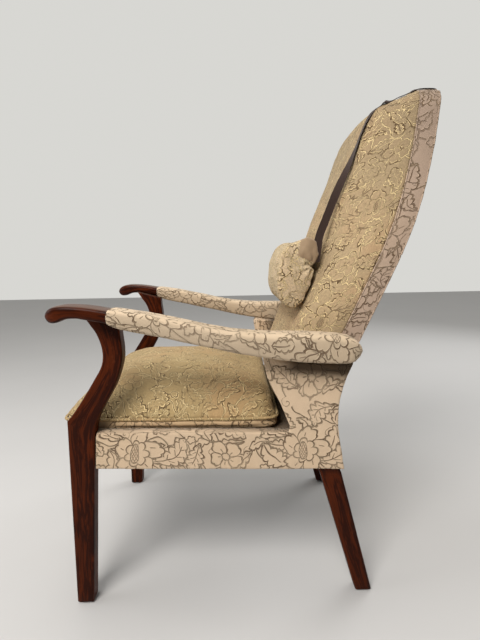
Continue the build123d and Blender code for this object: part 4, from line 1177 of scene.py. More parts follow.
# ------------------------------------------------------------------ seat cushion
def plan(n=176):
    """cushion outline seen from above, mm, counter-clockwise from the right rear"""
    pts = []
    X, y0, y1, c = 246.0, -36.0, 419.0, 30.0
    def arc(cx, cy, a0, a1, r, k):
        t = np.radians(np.linspace(a0, a1, k))
        return np.stack([cx + r * np.cos(t), cy + r * np.sin(t)], 1)
    pts.append(arc(X - c, y1 - c, 0, 90, c, 10))
    pts.append(np.stack([np.linspace(X - c - 6, -X + c + 6, 40), np.full(40, y1)], 1))
    pts.append(arc(-X + c, y1 - c, 90, 180, c, 10))
    pts.append(np.stack([np.full(40, -X), np.linspace(y1 - c - 6, y0 + 26 + 6, 40)], 1))
    pts.append(arc(-X + 26, y0 + 26, 180, 262, 26, 9))
    xx = np.linspace(-X + 30, X - 30, 40)
    pts.append(np.stack([xx, y0 - 8.5 * (1 - (xx / (X - 22)) ** 2)], 1))
    pts.append(arc(X - 26, y0 + 26, 278, 360, 26, 9))
    pts.append(np.stack([np.full(40, X), np.linspace(y0 + 32, y1 - c - 6, 40)], 1))
    p = np.vstack(pts)
    q = np.vstack([p, p[:1]])
    L = np.r_[0, np.cumsum(np.linalg.norm(np.diff(q, axis=0), axis=1))]
    u = np.linspace(0, L[-1], n, endpoint=False)
    return np.stack([np.interp(u, L, q[:, 0]), np.interp(u, L, q[:, 1])], 1), L[-1]


OUT, OUT_LEN = plan()
CROWN = [(0, 392.5), (3, 399), (9, 407.5), (20, 421), (34, 435), (54, 449.5), (80, 463), (108, 474), (138, 481.5), (170, 485), (228, 486.5)]
SEAM_Z = 392.5


def scaled(p, inset):
    yc = 191.5
    return np.stack([p[:, 0] * (1 - inset / 246.0), yc + (p[:, 1] - yc) * (1 - inset / 228.0)], 1)


def soften_cloth(ob, pressure, frames, cap_mm, pin=None, stiffness=12.0, shrink=0.0, grav=0.0):
    """inflates a closed mesh as cloth, holds how far a point may move, and leaves a plain mesh"""
    before = coords(ob)
    if pin is not None:
        vg = ob.vertex_groups.new(name="pin")
        for i in np.nonzero(pin > 0.01)[0]:
            vg.add([int(i)], float(pin[i]), "REPLACE")
    m = ob.modifiers.new("c", "CLOTH")
    s = m.settings
    s.quality = 6
    s.mass = 0.35
    s.tension_stiffness = s.compression_stiffness = stiffness
    s.shear_stiffness = stiffness * 0.6
    s.bending_stiffness = 0.35
    s.tension_damping = s.compression_damping = s.shear_damping = 8.0
    s.use_pressure = True
    s.uniform_pressure_force = pressure
    s.effector_weights.gravity = grav
    s.shrink_min = shrink
    s.air_damping = 4.0
    if pin is not None:
        s.vertex_group_mass = "pin"
        s.pin_stiffness = 1.0
    m.collision_settings.use_collision = False
    m.collision_settings.use_self_collision = False
    m.point_cache.frame_start, m.point_cache.frame_end = 1, frames
    scene.frame_start, scene.frame_end = 1, frames
    for f in range(1, frames + 1):
        scene.frame_set(f)
    apply_mods(ob)
    ob.vertex_groups.clear()
    after = coords(ob)
    d = after - before
    L = np.linalg.norm(d, axis=1, keepdims=True)
    d *= np.minimum(1.0, (cap_mm / 1000) / np.maximum(L, 1e-9))
    set_coords(ob, before + d)
    scene.frame_set(1)
    return ob


def cushion():
    rings = []
    for inset, z in [(26, 364.0), (8, 363.6), (2.0, 366.0), (0.3, 371.5), (0.0, 379), (0.8, 387), (2.6, 391.4)]:
        q = scaled(OUT, inset)
        rings.append(P(q[:, 0], q[:, 1], z))
    for inset, z in CROWN[1:]:
        q = scaled(OUT, inset if inset < 228 else 214)
        rings.append(P(q[:, 0], q[:, 1], z - 2.5))
    V, F, uv = loft(rings)
    ob = mesh_object("seat_cushion_fabric", V, F, None, M_SEAT)
    remesh(ob, 0.0052)
    relax(ob, 2, 0.4)
    co = coords(ob)
    z = co[:, 2] * 1000
    # the seam holds its place while the filling pushes the cloth out
    seam = np.exp(-((z - SEAM_Z) / 3.6) ** 2) * edge_near(co)
    pin = np.clip(seam * 1.6, 0, 1)
    pin[z < 366.5] = 1.0
    soften_cloth(ob, 3.2, 18, 9.0, pin)
    divide(ob, 1)
    co, nn = coords(ob), normals(ob)
    z = co[:, 2] * 1000
    y = co[:, 1] * 1000 - FOOT_Y
    x = co[:, 0] * 1000
    up = smoothstep(0.25, 0.8, nn[:, 2])
    d = up * (noise3(co, 9.0) * 3.2 + noise3(co + 1.7, 21.0) * 1.5)
    d += 12.0 * np.exp(-((y - 393) / 28) ** 2) * smoothstep(397, 420, z) * smoothstep(0, 16, 421 - y)
    # where it is sat on the pile is pressed down a little and small drags run to the corners
    d += -3.0 * up * np.exp(-((x / 150) ** 2 + ((y - 230) / 120) ** 2))
    side = (1 - up) * (z > 367) * (z < 391)
    d += side * (noise3(co, 34.0) * 1.3 + np.sin(edge_run(co) * 260 + noise3(co, 12) * 5) * 0.35)
    crimp = np.exp(-((z - 399) / 8.0) ** 2) * edge_near(co)
    d += crimp * np.sin(edge_run(co) * 330 + noise3(co, 15) * 6) * 0.55
    # the seam's valley, which the piping lies in
    d += -1.5 * np.exp(-((z - SEAM_Z) / 2.6) ** 2) * edge_near(co)
    set_coords(ob, co + nn * d[:, None] / 1000)

    def uvf(c, n):
        cx, cy = 0.0, (190 + FOOT_Y) / 1000
        drop = np.clip(0.487 - c[:, 2], 0, 0.1)
        k = np.clip(np.maximum(np.abs(c[:, 0] - cx) / 0.247, np.abs(c[:, 1] - cy) / 0.23), 1e-6, None)
        ux = c[:, 0] * (1 + 0.0) + np.sign(c[:, 0]) * drop * 0.55 * (np.abs(c[:, 0]) / 0.247)
        uy = c[:, 1] + np.sign(c[:, 1] - cy) * drop * 0.55 * (np.abs(c[:, 1] - cy) / 0.23)
        top = np.stack([ux, uy], 1) + np.array([1.1, 0.7])
        a = np.abs(n)
        side_uv = np.stack([np.where(a[:, 0] > a[:, 1], c[:, 1] + 0.4 * np.sign(n[:, 0]), c[:, 0] + 1.3), c[:, 2] + 0.35], 1)
        is_side = c[:, 2] < SEAM_Z / 1000 - 0.0006
        return np.where(is_side[:, None], side_uv, top)
    map_uv(ob, uvf)
    ob.data.materials.append(M_BOX)
    pz = np.empty(len(ob.data.polygons) * 3)
    ob.data.polygons.foreach_get("center", pz)
    pz = pz.reshape(-1, 3)
    ob.data.polygons.foreach_set("material_index", (pz[:, 2] < SEAM_Z / 1000).astype(np.int32))
    return ob


_cum = np.r_[0, np.cumsum(np.linalg.norm(np.diff(np.vstack([OUT, OUT[:1]]), axis=0), axis=1))]


def edge_run(co):
    """metres along the cushion's outline, and through edge_near how close a point is to it"""
    x = co[:, 0] * 1000
    y = co[:, 1] * 1000 - FOOT_Y
    best = np.full(len(co), 1e9)
    run = np.zeros(len(co))
    for i, (px, py) in enumerate(OUT):
        d = (x - px) ** 2 + (y - py) ** 2
        m_ = d < best
        best[m_] = d[m_]
        run[m_] = _cum[i]
    return run / 1000


def edge_near(co):
    x = co[:, 0] * 1000
    y = co[:, 1] * 1000 - FOOT_Y
    best = np.full(len(co), 1e9)
    for px, py in OUT[::2]:
        best = np.minimum(best, (x - px) ** 2 + (y - py) ** 2)
    return 1 - smoothstep(9, 22, np.sqrt(best))


def tube(name, path, radius, mat, closed=True, n=10, wobble=0.0, seed=0.0):
    """a cord-like roll of cloth that follows a path in metres"""
    p = np.array(path)
    if closed:
        t = unit(np.roll(p, -1, 0) - np.roll(p, 1, 0))
    else:
        t = unit(np.gradient(p, axis=0))
    rings = []
    up = np.array([0, 0, 1.0])
    for i in range(len(p)):
        s = unit(np.cross(t[i], up if abs(t[i][2]) < 0.9 else np.array([0, 1.0, 0])))
        u2 = np.cross(s, t[i])
        r = radius * (1 + wobble * noise3((p[i] * 1.0 + seed)[None], 60.0)[0] * 2)
        a = np.linspace(0, 2 * math.pi, n, endpoint=False)
        rings.append(p[i] + (np.cos(a)[:, None] * s + np.sin(a)[:, None] * u2) * r)
    if closed:
        rings.append(rings[0])
    V, F, uv = loft(rings, cap=not closed)
    ob = mesh_object(name, V, F, uv, mat)
    if closed:
        bm = bmesh.new()
        bm.from_mesh(ob.data)
        bmesh.ops.remove_doubles(bm, verts=bm.verts, dist=1e-6)
        bm.to_mesh(ob.data)
        bm.free()
    return ob


def over_rails(ob):
    """the filling's weight: the boxing swells over the side rails and follows their slope to the rear"""
    co = coords(ob)
    x, y, z = co[:, 0] * 1000, co[:, 1] * 1000 - FOOT_Y, co[:, 2] * 1000
    along = smoothstep(52, 95, y) * (1 - smoothstep(345, 402, y))
    # no fuller than the room between the front legs, so that the cushion lifts out past them
    full = 0.0014 + 0.0030 * smoothstep(376, 380, z) * (1 - smoothstep(385, 390.5, z))
    co[:, 0] += np.sign(x) * full * along * smoothstep(375.5, 381, z) * (1 - smoothstep(394, 452, z)) * smoothstep(185, 240, np.abs(x))
    co[:, 2] -= 0.0120e-3 * np.clip(y - 42, 0, None) * smoothstep(367, 379, z) * (1 - smoothstep(398, 446, z))
    set_coords(ob, co)
    return ob


cu = over_rails(cushion())
piece(cu, "cushion_body", "cut_velvet", "seat_cushion")
# piping along the seam
pp = scaled(OUT, -0.4)
dense = np.vstack([pp, pp[:1]])
L_ = np.r_[0, np.cumsum(np.linalg.norm(np.diff(dense, axis=0), axis=1))]
uu = np.linspace(0, L_[-1], 420, endpoint=False)
pxy = np.stack([np.interp(uu, L_, dense[:, 0]), np.interp(uu, L_, dense[:, 1])], 1)
zz = SEAM_Z + noise3(np.c_[pxy / 1000, np.zeros(len(pxy))], 14.0) * 1.3
pipe = over_rails(tube("seat_cushion_piping", P(pxy[:, 0], pxy[:, 1], zz), 0.0032, M_SEAT, wobble=0.16))
piece(pipe, "cushion_body", "cut_velvet")


# ------------------------------------------------------------------ inside back
def plump(ob):
    """the stuffing's fullness along the back's crest"""
    co = coords(ob)
    co[:, 2] += 0.0056 * smoothstep(0.955, 1.035, co[:, 2])
    set_coords(ob, co)
    return ob


def back_half(z):
    z = np.asarray(z, float)
    low_w = 225.0 + (249.0 - 225.0) * smoothstep(516, 547, z)
    return np.where(z < 600, np.minimum(low_w, half(z) - 0.8), half(z) - 0.8)


def back_row(z):
    w = float(back_half(z))
    b = float(rear(z)) - 43.0 - 0.9
    full = float(smoothstep(985, 1025, z) * (1 - smoothstep(1076, 1086, z)))
    a = float(front(z)) - 6.0 * full
    d = max(b - a, 0.6)
    wf = min(float(flat(z)) + 7.0 * full, w - 3) if w > 12 else w * 0.5
    D = w - wf
    ctrl = [(w, b), (w - D * 0.035, b - d * 0.14), (w - D * 0.115, b - d * 0.31), (wf + D * 0.53, b - d * 0.70), (wf + D * 0.16, b - d * 0.925),
            (wf - min(16, wf * 0.2), a - 0.5), (wf * 0.5, a - 3.2), (0, a - 4)]
    ctrl = ctrl + [(-x, y) for x, y in ctrl[:-1][::-1]]
    s = spline(ctrl, 321)
    L = np.r_[0, np.cumsum(np.linalg.norm(np.diff(s, axis=0), axis=1))]
    # the sewn line where the front panel meets the side panel
    seam_x = wf + D * 0.10
    h_ = len(s) // 2
    ls = float(np.interp(-seam_x, -s[:h_ + 1, 0], L[:h_ + 1]))
    mid_l = L[-1] / 2
    g = min(7.0, ls * 0.3, (mid_l - ls) * 0.3)
    u = np.concatenate([np.linspace(0, ls - g, 26)[:-1], np.linspace(ls - g, ls + g, 13)[:-1], np.linspace(ls + g, mid_l, 22)])
    u = np.concatenate([u, (L[-1] - u[:-1])[::-1]])
    x = np.interp(u, L, s[:, 0])
    y = np.interp(u, L, s[:, 1])
    off = np.minimum(np.abs(u - ls), np.abs(L[-1] - u - ls))
    return x, y, u - mid_l, off, w, b


def inside_back():
    zs = np.concatenate([np.linspace(372.5, 640, 60)[:-1], np.linspace(640, 1000, 84)[:-1], np.linspace(1000, 1062, 30)[:-1], np.linspace(1062, 1085.6, 22)])
    rows, offs, us, centre = [], [], [], []
    for z in zs:
        x, y, u, off, w, b = back_row(z)
        xb = np.linspace(-w, w, 18)[1:-1]
        rows.append(P(np.r_[x, xb], np.r_[y, np.full(len(xb), b)], z))
        offs.append(np.r_[off, np.full(len(xb), 99.0)])
        us.append(np.r_[u, np.full(len(xb), 9.0)])
        centre.append((y[len(y) // 2], z))
    nf = len(x)
    V, F, _ = loft(rows)
    ob = mesh_object("inside_back_fabric", V, F, None, M_FLANK)
    n = rows[0].shape[0]
    co, nn = coords(ob), normals(ob)
    z = co[:, 2] * 1000
    x = co[:, 0] * 1000
    off = np.r_[np.concatenate(offs), 99.0, 99.0]
    face = np.zeros(len(co))
    for i in range(len(rows)):
        face[i * n:i * n + nf] = 1.0
        face[i * n] = face[i * n + nf - 1] = 0.0
    d = noise3(co, 8.0) * 3.0 + noise3(co + 4.0, 19.0) * 1.3 + noise3(co + 7.0, 48.0) * 0.35
    edge = np.zeros(len(co))
    for i in range(len(rows)):
        k = np.arange(nf)
        edge[i * n:i * n + nf] = smoothstep(0, 5, np.minimum(k, nf - 1 - k))
    d *= edge * smoothstep(0, 30, 1086 - z)
    d += -2.3 * np.exp(-(off / 1.9) ** 2) * smoothstep(560, 640, z) * (1 - smoothstep(1048, 1064, z))
    # the filling swells between the seam and the border
    d += 1.2 * np.exp(-((off - 9) / 6) ** 2) * face
    d += 0.5 * np.sin(z / 7.5 + noise3(co, 14) * 4) * np.exp(-(off / 12) ** 2) * face * smoothstep(560, 640, z)
    set_coords(ob, co + nn * (d * face)[:, None] / 1000)
    # map: across from the middle, up along the middle line
    c_ = np.array(centre)
    up = np.r_[0, np.cumsum(np.linalg.norm(np.diff(c_, axis=0), axis=1))]
    U = np.concatenate(us)
    vmap = np.stack([np.r_[U, 0, 0] / 1000, np.r_[np.repeat(up, n), up[0], up[-1]] / 1000], 1)
    me = ob.data
    lv = np.empty(len(me.loops), np.int32)
    me.loops.foreach_get("vertex_index", lv)
    uv = vmap[lv] + np.array([2.3, 0.4])
    layer = me.uv_layers.get("fab") or me.uv_layers.new(name="fab")
    layer.data.foreach_set("uv", uv.astype(np.float32).ravel())
    return ob


ib = plump(inside_back())
piece(ib, BODY, "cut_velvet", "inside_back_pad")


# boxed border round the back, and the outside back
def outline_path(n=300, inset=0.0):
    zs = np.r_[np.linspace(537, 1000, 60)[:-1], 1000, 1012, 1025, 1036, 1045, 1054, 1062, 1068.5, 1074, 1078.6, 1082]
    right = [(float(half(z)), float(z)) for z in zs] + [(40, 1084.7)]
    pts = right + [(0, 1086)] + [(-x, z) for x, z in right[::-1]]
    return spline(pts, n)


def border():
    path = outline_path(300)
    t = unit(np.gradient(path, axis=0))
    inn = np.stack([-t[:, 1], t[:, 0]], 1)
    inn *= np.where((inn * (np.array([0, 800]) - path)).sum(1, keepdims=True) < 0, -1, 1)
    rings = []
    for i, (x, z) in enumerate(path):
        zc = float(np.clip(z, 537, 1086))
        y0, y1 = float(rear(zc)) - 42.6, float(rear(zc)) - 0.2
        N = np.array([inn[i, 0], 0, inn[i, 1]])
        c = P(x, (y0 + y1) / 2, z) + N * 0.0022
        e = 0.0
        if i in (0, len(path) - 1):
            e = 0.0008
        wob = noise3(np.array([[x, z, 0.0]]) / 1000, 26.0)[0] * 0.0006
        rings.append(rrect(c - N * wob, (0, 1, 0), N, (y1 - y0) / 2000 - e, 0.0021 - e * 0.5, 0.0017, 4, 8, bulge_b=0.0011))
    V, F, uv = loft(rings)
    return mesh_object("back_border_fabric", V, F, uv + np.array([0.0, 3.1]), M_BORDER)


bo = plump(border())
piece(bo, BODY, "cut_velvet", "back_border")
# the two edges of the border are finished with a fine corded seam
for nm, dy, rad in (("front", -43.0, 0.0015), ("rear", -1.3, 0.0017)):
    path = outline_path(360)
    zc = np.clip(path[:, 1], 537, 1086)
    pts = P(path[:, 0] * 0.9985, rear(zc) + dy, path[:, 1] - 0.9)
    s_ = tube("border_seam_" + nm, pts, rad, M_BORDER, closed=False, n=8, wobble=0.25, seed=dy)
    plump(s_)
    piece(s_, BODY, "cut_velvet")


def outside_back():
    zs = np.r_[np.linspace(294, 300, 3), np.linspace(304, 1000, 110), np.linspace(1004, 1060, 16)[0:], np.linspace(1064, 1081.4, 10)]
    rows = []
    for z in zs:
        if z < 478:
            w = 275.0
        elif z < 600:
            w = float(np.interp(z, [478, 492, 508, 530, 546, 600], [275.0, 272, 250.5, 245.2, 245.4, 245.6]))
        else:
            w = float(half(z)) - 4.6
        w = max(w, 3.0)
        k = 42
        t = np.linspace(1, -1, k)
        edge = 1 - np.abs(t) ** 10
        crown = (1 - t ** 2) * 1.2 * min(1.0, (1086 - z) / 60)
        y_out = rear(z) - 1.9 + crown + (noise3(P(t * w, rear(z), z), 11.0) * 1.2 + noise3(P(t * w, rear(z), z), 33.0) * 0.35) * edge - (1 - edge) * 1.2
        y_in = np.full(k, rear(z) - 4.5)
        rows.append(P(np.r_[t * w, -t * w], np.r_[y_out, y_in], z))
    V, F, uv = loft(rows)
    ob = mesh_object("outside_back_fabric", V, F, None, M_PANEL)
    map_uv(ob, lambda c, n: np.stack([c[:, 0] + 3.3, c[:, 2] * 1.07], 1))
    return ob


obk = plump(outside_back())
piece(obk, BODY, "cut_velvet", "outside_back")

# ------------------------------------------------------------------ back pillow
PC, PT = np.array(PIL_C), PIL_TILT
PU = np.array([0.0, math.sin(PT), math.cos(PT)])
PV = np.array([0.0, math.cos(PT), -math.sin(PT)])
NEAR_END = [(84.6, 12.0), (76, -6), (60, -24), (41.6, -37.5), (12, -35), (-20, -28), (-50, -16), (-68, 0), (-73.4, 20), (-60, 37), (-36, 42.5),
            (-10, 43.5), (14, 40.5), (32.4, 36.3), (58.3, 34.5), (76, 26)]


BODY_RING = [(75, 10), (71, -10), (54, -25), (28, -31), (0, -29.5), (-26, -24), (-50, -14), (-68, 0), (-74.5, 16), (-66, 30), (-40, 35.5), (0, 36.3), (40, 36.3),
             (62, 33), (72, 24)]
FAR_END = [(70, 12), (64, -6), (48, -20), (24, -25), (0, -24), (-26, -18), (-48, -9), (-66, 3), (-74, 17), (-64, 29), (-38, 34), (0, 36), (38, 35), (60, 30), (68, 22)]


def polar_loop(pts, n):
    """a closed outline read at n even angles"""
    p = np.array(pts, float)
    s = spline(np.vstack([p[-2:], p, p[:3]]), 600)
    ang = np.arctan2(s[:, 1], s[:, 0])
    rad = np.hypot(s[:, 0], s[:, 1])
    o = np.argsort(ang)
    a = np.r_[ang[o] - 2 * math.pi, ang[o], ang[o] + 2 * math.pi]
    return np.interp(np.linspace(-math.pi, math.pi, n, endpoint=False), a, np.tile(rad[o], 3))


def pillow():
    n = 72
    th = np.linspace(-math.pi, math.pi, n, endpoint=False)
    body, end = polar_loop(BODY_RING, n), polar_loop(NEAR_END, n)
    far_end = polar_loop(FAR_END, n)
    rings = []
    xs = [(-198.6, .05), (-198.4, .3), (-197.8, .55), (-196.8, .75), (-194.5, .90), (-190, .965), (-184, 0.99)]
    xs += [(x, 1.0) for x in np.linspace(-176, 178, 40)] + [(185, .995), (190.5, .985), (194.5, .94), (196.6, .84), (197.4, .66), (197.0, .42), (196.4, .22), (196.2, .05)]
    for x, k in xs:
        t = float(smoothstep(148, 188, x)) if x > 0 else float(smoothstep(150, 190, -x))
        r = body * (1 - t) + (end if x > 0 else far_end) * t
        u, v = r * np.cos(th) * k, r * np.sin(th) * k
        if abs(x) < 168:
            v = np.minimum(v, 36.2)
        rings.append(P(x, PC[0], PC[1]) + (u[:, None] * PU + v[:, None] * PV) / 1000)
    V, F, _ = loft(rings)
    ob = mesh_object("back_pillow_fabric", V, F, None, M_PILLOW)
    remesh(ob, 0.0040)
    relax(ob, 2, 0.4)
    base = P(0, PC[0], PC[1])

    def local(co):
        d = (co - base) * 1000
        return d[:, 0], d @ PU, d @ PV

    co = coords(ob)
    x, u, v = local(co)
    pin = smoothstep(16, 28, v) * (1 - smoothstep(160, 176, np.abs(x)))
    pin = np.maximum(pin, np.exp(-((np.abs(x) - 191) / 2.4) ** 2) * smoothstep(.55, .8, np.hypot(u / 80, v / 42)))
    soften_cloth(ob, 3.0, 16, 8.0, np.clip(pin, 0, 1), stiffness=10.0)
    divide(ob, 1)
    co, nn = coords(ob), normals(ob)
    x, u, v = local(co)
    ang = np.arctan2(v / 40, u / 78)
    free = 1 - smoothstep(20, 30, v) * (1 - smoothstep(156, 178, np.abs(x)))
    # gathers that run in from both ends, and round the end's sewn edge
    along = np.exp(-((196 - np.abs(x)) / 34) ** 2) * (np.abs(nn[:, 0]) < 0.75)
    wig = noise3(co, 22.0) * 2.2
    d = along * np.sin(ang * 15 + np.sign(x) + wig) * 0.8 + along * np.sin(ang * 31 + wig * 2) * 0.4
    r = np.hypot(u / 76, v / 40)
    endf = smoothstep(0.55, 0.85, np.abs(nn[:, 0])) * (np.abs(x) > 180)
    d += endf * np.sin(ang * 11 + wig * 1.6) * 0.55 * smoothstep(0.3, 0.8, r)
    d += -1.6 * np.exp(-((np.abs(x) - 187) / 2.2) ** 2) + 0.9 * np.exp(-((np.abs(x) - 192.5) / 2.0) ** 2)
    # the tuck in the end towards the back's edge, with creases that fan out from it
    gu, gv = 28.5, 34.0
    ru = np.hypot(u - gu, v - gv)
    fan = np.arctan2(u - gu, -(v - gv))
    near = (x > 150) * 1.0
    d += near * np.exp(-(ru / 34) ** 2) * np.sin(fan * 9 + 0.6 + wig * 0.4) * 2.1 * smoothstep(3, 12, ru)
    slit = np.exp(-((u - (29.5 - (v - 22) * 0.16)) / 2.1) ** 2) * smoothstep(12, 22, v) * (x > 178)
    d += -7.0 * slit
    d += -5.0 * np.exp(-(np.hypot(u - gu, (v - 42) * 0.8) / 6.0) ** 2) * (x > 160)
    # soft unevenness of the filling
    d += (noise3(co, 12.0) * 3.0 + noise3(co + 5.0, 30.0) * 2.0) * free * (1 - 0.2 * endf)
    d += np.sin(u / 8.5 + noise3(co, 10) * 4) * 0.9 * np.exp(-((np.abs(x) - 120) / 40) ** 2) * (v < 0)
    new = co + nn * (d * np.clip(free, 0.0, 1))[:, None] / 1000
    # the part that lies against the back stays flat
    dv = (new - base) @ PV * 1000
    over = np.where(np.abs(x) < 168, np.maximum(dv - 36.6, 0), 0)
    new -= over[:, None] * PV / 1000
    new[:, 0] = np.clip(new[:, 0], -0.2035, 0.2035)
    set_coords(ob, new)
    # the smooth flap that covers the top rear corner of the near end
    co = coords(ob)
    x, u, v = local(co)
    nn = normals(ob)

    def in_flap(x, u, v):
        return (smoothstep(36.5, 38.5, u + (v - 10) * 0.05) * smoothstep(-9, -7.5, v + (u - 60) * 0.12) * smoothstep(181, 183, x))
    f = in_flap(x, u, v)
    set_coords(ob, co + nn * (f * 1.3)[:, None] / 1000)
    me = ob.data
    me.materials.append(M_TAB)
    pc = np.empty(len(me.polygons) * 3)
    me.polygons.foreach_get("center", pc)
    px, pu, pv = local(pc.reshape(-1, 3))
    me.polygons.foreach_set("material_index", (in_flap(px, pu, pv) > 0.5).astype(np.int32))
    t = np.linspace(-math.pi, math.pi, 361)
    e = np.stack([75 * np.cos(t), 38 * np.sin(t)], 1)
    arc = np.r_[0, np.cumsum(np.linalg.norm(np.diff(e, axis=0), axis=1))]

    def uvf(c, nrm):
        xx, uu, vv = local(c)
        a_ = np.arctan2(vv / 38, uu / 75)
        round_ = np.stack([np.interp(a_, t, arc) / 1000 + 0.62, xx / 1000 + 0.24], 1)
        flat_ = np.stack([vv / 1000 + 4.1 + np.sign(xx) * 0.4, uu / 1000 + 0.815], 1)
        return np.where((np.abs(nrm[:, :1]) > 0.62) & (np.abs(xx[:, None]) > 180), flat_, round_)
    map_uv(ob, uvf)
    return ob


pil = pillow()
piece(pil, "pillow_body", "cut_velvet", "pillow")


# ------------------------------------------------------------------ its webbing straps and tail bag
def surface_tree(obs):
    V, F = [], []
    for o in obs:
        k = len(V)
        V += [v.co.copy() for v in o.data.vertices]
        F += [tuple(i + k for i in p.vertices) for p in o.data.polygons]
    return BVHTree.FromPolygons(V, F)


BACK_SURFACE = surface_tree([ib, bo, obk])


def settle(c, w, z0, z1, side, gap):
    """the strap follows the back: it is never under the surface, and above z0 to z1 it lies right on it"""
    c, w = c.copy(), w.copy()
    half_w = 8.2

    def near(v):
        q = Vector(P(v[0] * side, v[1], v[2]))
        loc, nrm, _, _ = BACK_SURFACE.find_nearest(q)
        # outwards, away from the middle of the stuffing
        zi = min(v[2], 1060.0) - 10
        if nrm.dot(loc - Vector(P(0, float(rear(zi)) - 20, zi))) < 0:
            nrm = -nrm
        n = np.array([nrm[0] * side, nrm[1], nrm[2]])
        return float((q - loc).dot(nrm)) * 1000, n

    for turn in range(4):
        for i in range(len(c)):
            on = float(smoothstep(752, 772, c[i][2]))
            if on <= 0:
                continue
            k = float(smoothstep(z0, z1, c[i][2])) if c[i][1] < 680 else float(smoothstep(1000, 1045, c[i][2]))
            sd, n = near(c[i])
            if abs(sd) > 30:
                continue
            if sd < gap:
                c[i] += n * (gap - sd) * on
            else:
                c[i] -= n * (sd - gap) * k
            w[i] = unit(w[i] - n * (w[i] @ n) * k)
            lift = 0.0
            for a in (-half_w, half_w):
                se, ne = near(c[i] + w[i] * a)
                if abs(se) < 30:
                    lift = max(lift, (0.9 - se) / max(float(ne @ n), 0.35))
            c[i] += n * min(lift, 6.0) * k
        for _ in range(4 if turn < 3 else 2):
            on = smoothstep(752, 772, c[1:-1, 2])[:, None]
            c[1:-1] = c[1:-1] * (1 - 0.5 * on) + 0.25 * on * (c[:-2] + c[2:])
            w[1:-1] = w[1:-1] * (1 - 0.5 * on) + 0.25 * on * (w[:-2] + w[2:])
        w = unit(w)
    return c, w


def webbing(name, path, n=150, width=17.2, thick=1.4, side=1.0, lie=None):
    """flat woven strap: path holds centres and the direction of the width, mm"""
    c = spline([p[0] for p in path], n)
    L = np.r_[0, np.cumsum([np.linalg.norm(np.subtract(path[i + 1][0], path[i][0])) for i in range(len(path) - 1)])]
    ws = np.array([unit(p[1]) for p in path])
    Lc = np.r_[0, np.cumsum(np.linalg.norm(np.diff(c, axis=0), axis=1))]
    Lc *= L[-1] / Lc[-1]
    w = unit(np.stack([np.interp(Lc, L, ws[:, k]) for k in range(3)], 1))
    if lie is not None:
        c, w = settle(c, w, lie[0], lie[1], side, lie[2])
    t = unit(np.gradient(c, axis=0))
    w = unit(w - t * (w * t).sum(1, keepdims=True))
    nv = np.cross(t, w)
    rings = []
    for i in range(n):
        ripple = noise3((c[i][None] / 1000) * [side, 1, 1], 24.0)[0] * 0.3
        q = c[i] + nv[i] * ripple
        row = []
        hw = width / 2 * (1 + noise3((c[i][None] / 1000) * [side, 1, 1], 70.0)[0] * 0.03)
        # cross section: a thin band with a slightly thicker, bound edge
        for a, b in ((-1, -.35), (-.97, -.55), (-.90, -.5), (-.84, -.38), (-.5, -.42), (0, -.42), (.5, -.42), (.84, -.38), (.90, -.5), (.97, -.55), (1, -.35),
                     (1, .35), (.97, .55), (.90, .5), (.84, .38), (.5, .42), (0, .42), (-.5, .42), (-.84, .38), (-.90, .5), (-.97, .55), (-1, .35)):
            row.append(q + w[i] * (a * hw) + nv[i] * (b * thick))
        row = np.array(row)
        rings.append(P(row[:, 0] * side, row[:, 1], row[:, 2]))
    V, F, uv = loft(rings)
    ob = mesh_object(name, V, F, uv, M_STRAP)
    return ob


STRAP_RIGHT = [((193.0, 495.5, 722.0), (0.0, 0.94, -0.34)), ((190.8, 507.5, 735.0), (0.25, 0.88, -0.40)), ((188.0, 523.0, 749.0), (0.45, 0.80, -0.40)),
               ((178.0, 549.0, 772.9), (0.753, 0.658, 0.0)), ((173.9, 554.6, 792.8), (0.738, 0.675, 0.0)), ((171.6, 562.6, 815.8), (0.718, 0.696, 0.0)),
               ((169.7, 576.3, 849.8), (0.693, 0.721, 0.0)), ((168.1, 590.4, 884.7), (0.672, 0.740, 0.0)), ((166.6, 604.1, 920.6), (0.651, 0.759, 0.0)),
               ((165.0, 616.7, 956.7), (0.624, 0.781, 0.0)), ((163.3, 628.0, 986.0), (0.606, 0.796, 0.0)), ((161.5, 638.4, 1004.7), (0.612, 0.791, 0.0)),
               ((152.3, 657.8, 1030.5), (0.687, 0.727, 0.0)), ((139.0, 679.5, 1047.5), (0.93, 0.30, -0.24)), ((132.0, 701.5, 1059.0), (0.98, 0.12, -0.14)),
               ((125.5, 721.0, 1071.3), (1.0, 0.0, -0.13)), ((122.0, 735.0, 1076.8), (1.0, 0.0, -0.17))] + STRAP[16:]
s1 = webbing("strap_left_webbing", [((193.0, 506.0, 714.0), (0.0, 0.94, -0.34)), ((191.0, 508.5, 732.0), (0.0, 0.94, -0.34)), ((188.5, 511.5, 748.0), (0.0, 0.94, -0.34))] + STRAP[2:], n=190, lie=(1010, 1045, 1.9))
s2 = webbing("strap_right_webbing", STRAP_RIGHT, n=190, side=-1.0, lie=(775, 800, 1.9))
piece(s1, "pillow_body", "strap_webbing", "pillow_strap_left")
piece(s2, "pillow_body", "strap_webbing", "pillow_strap_right")


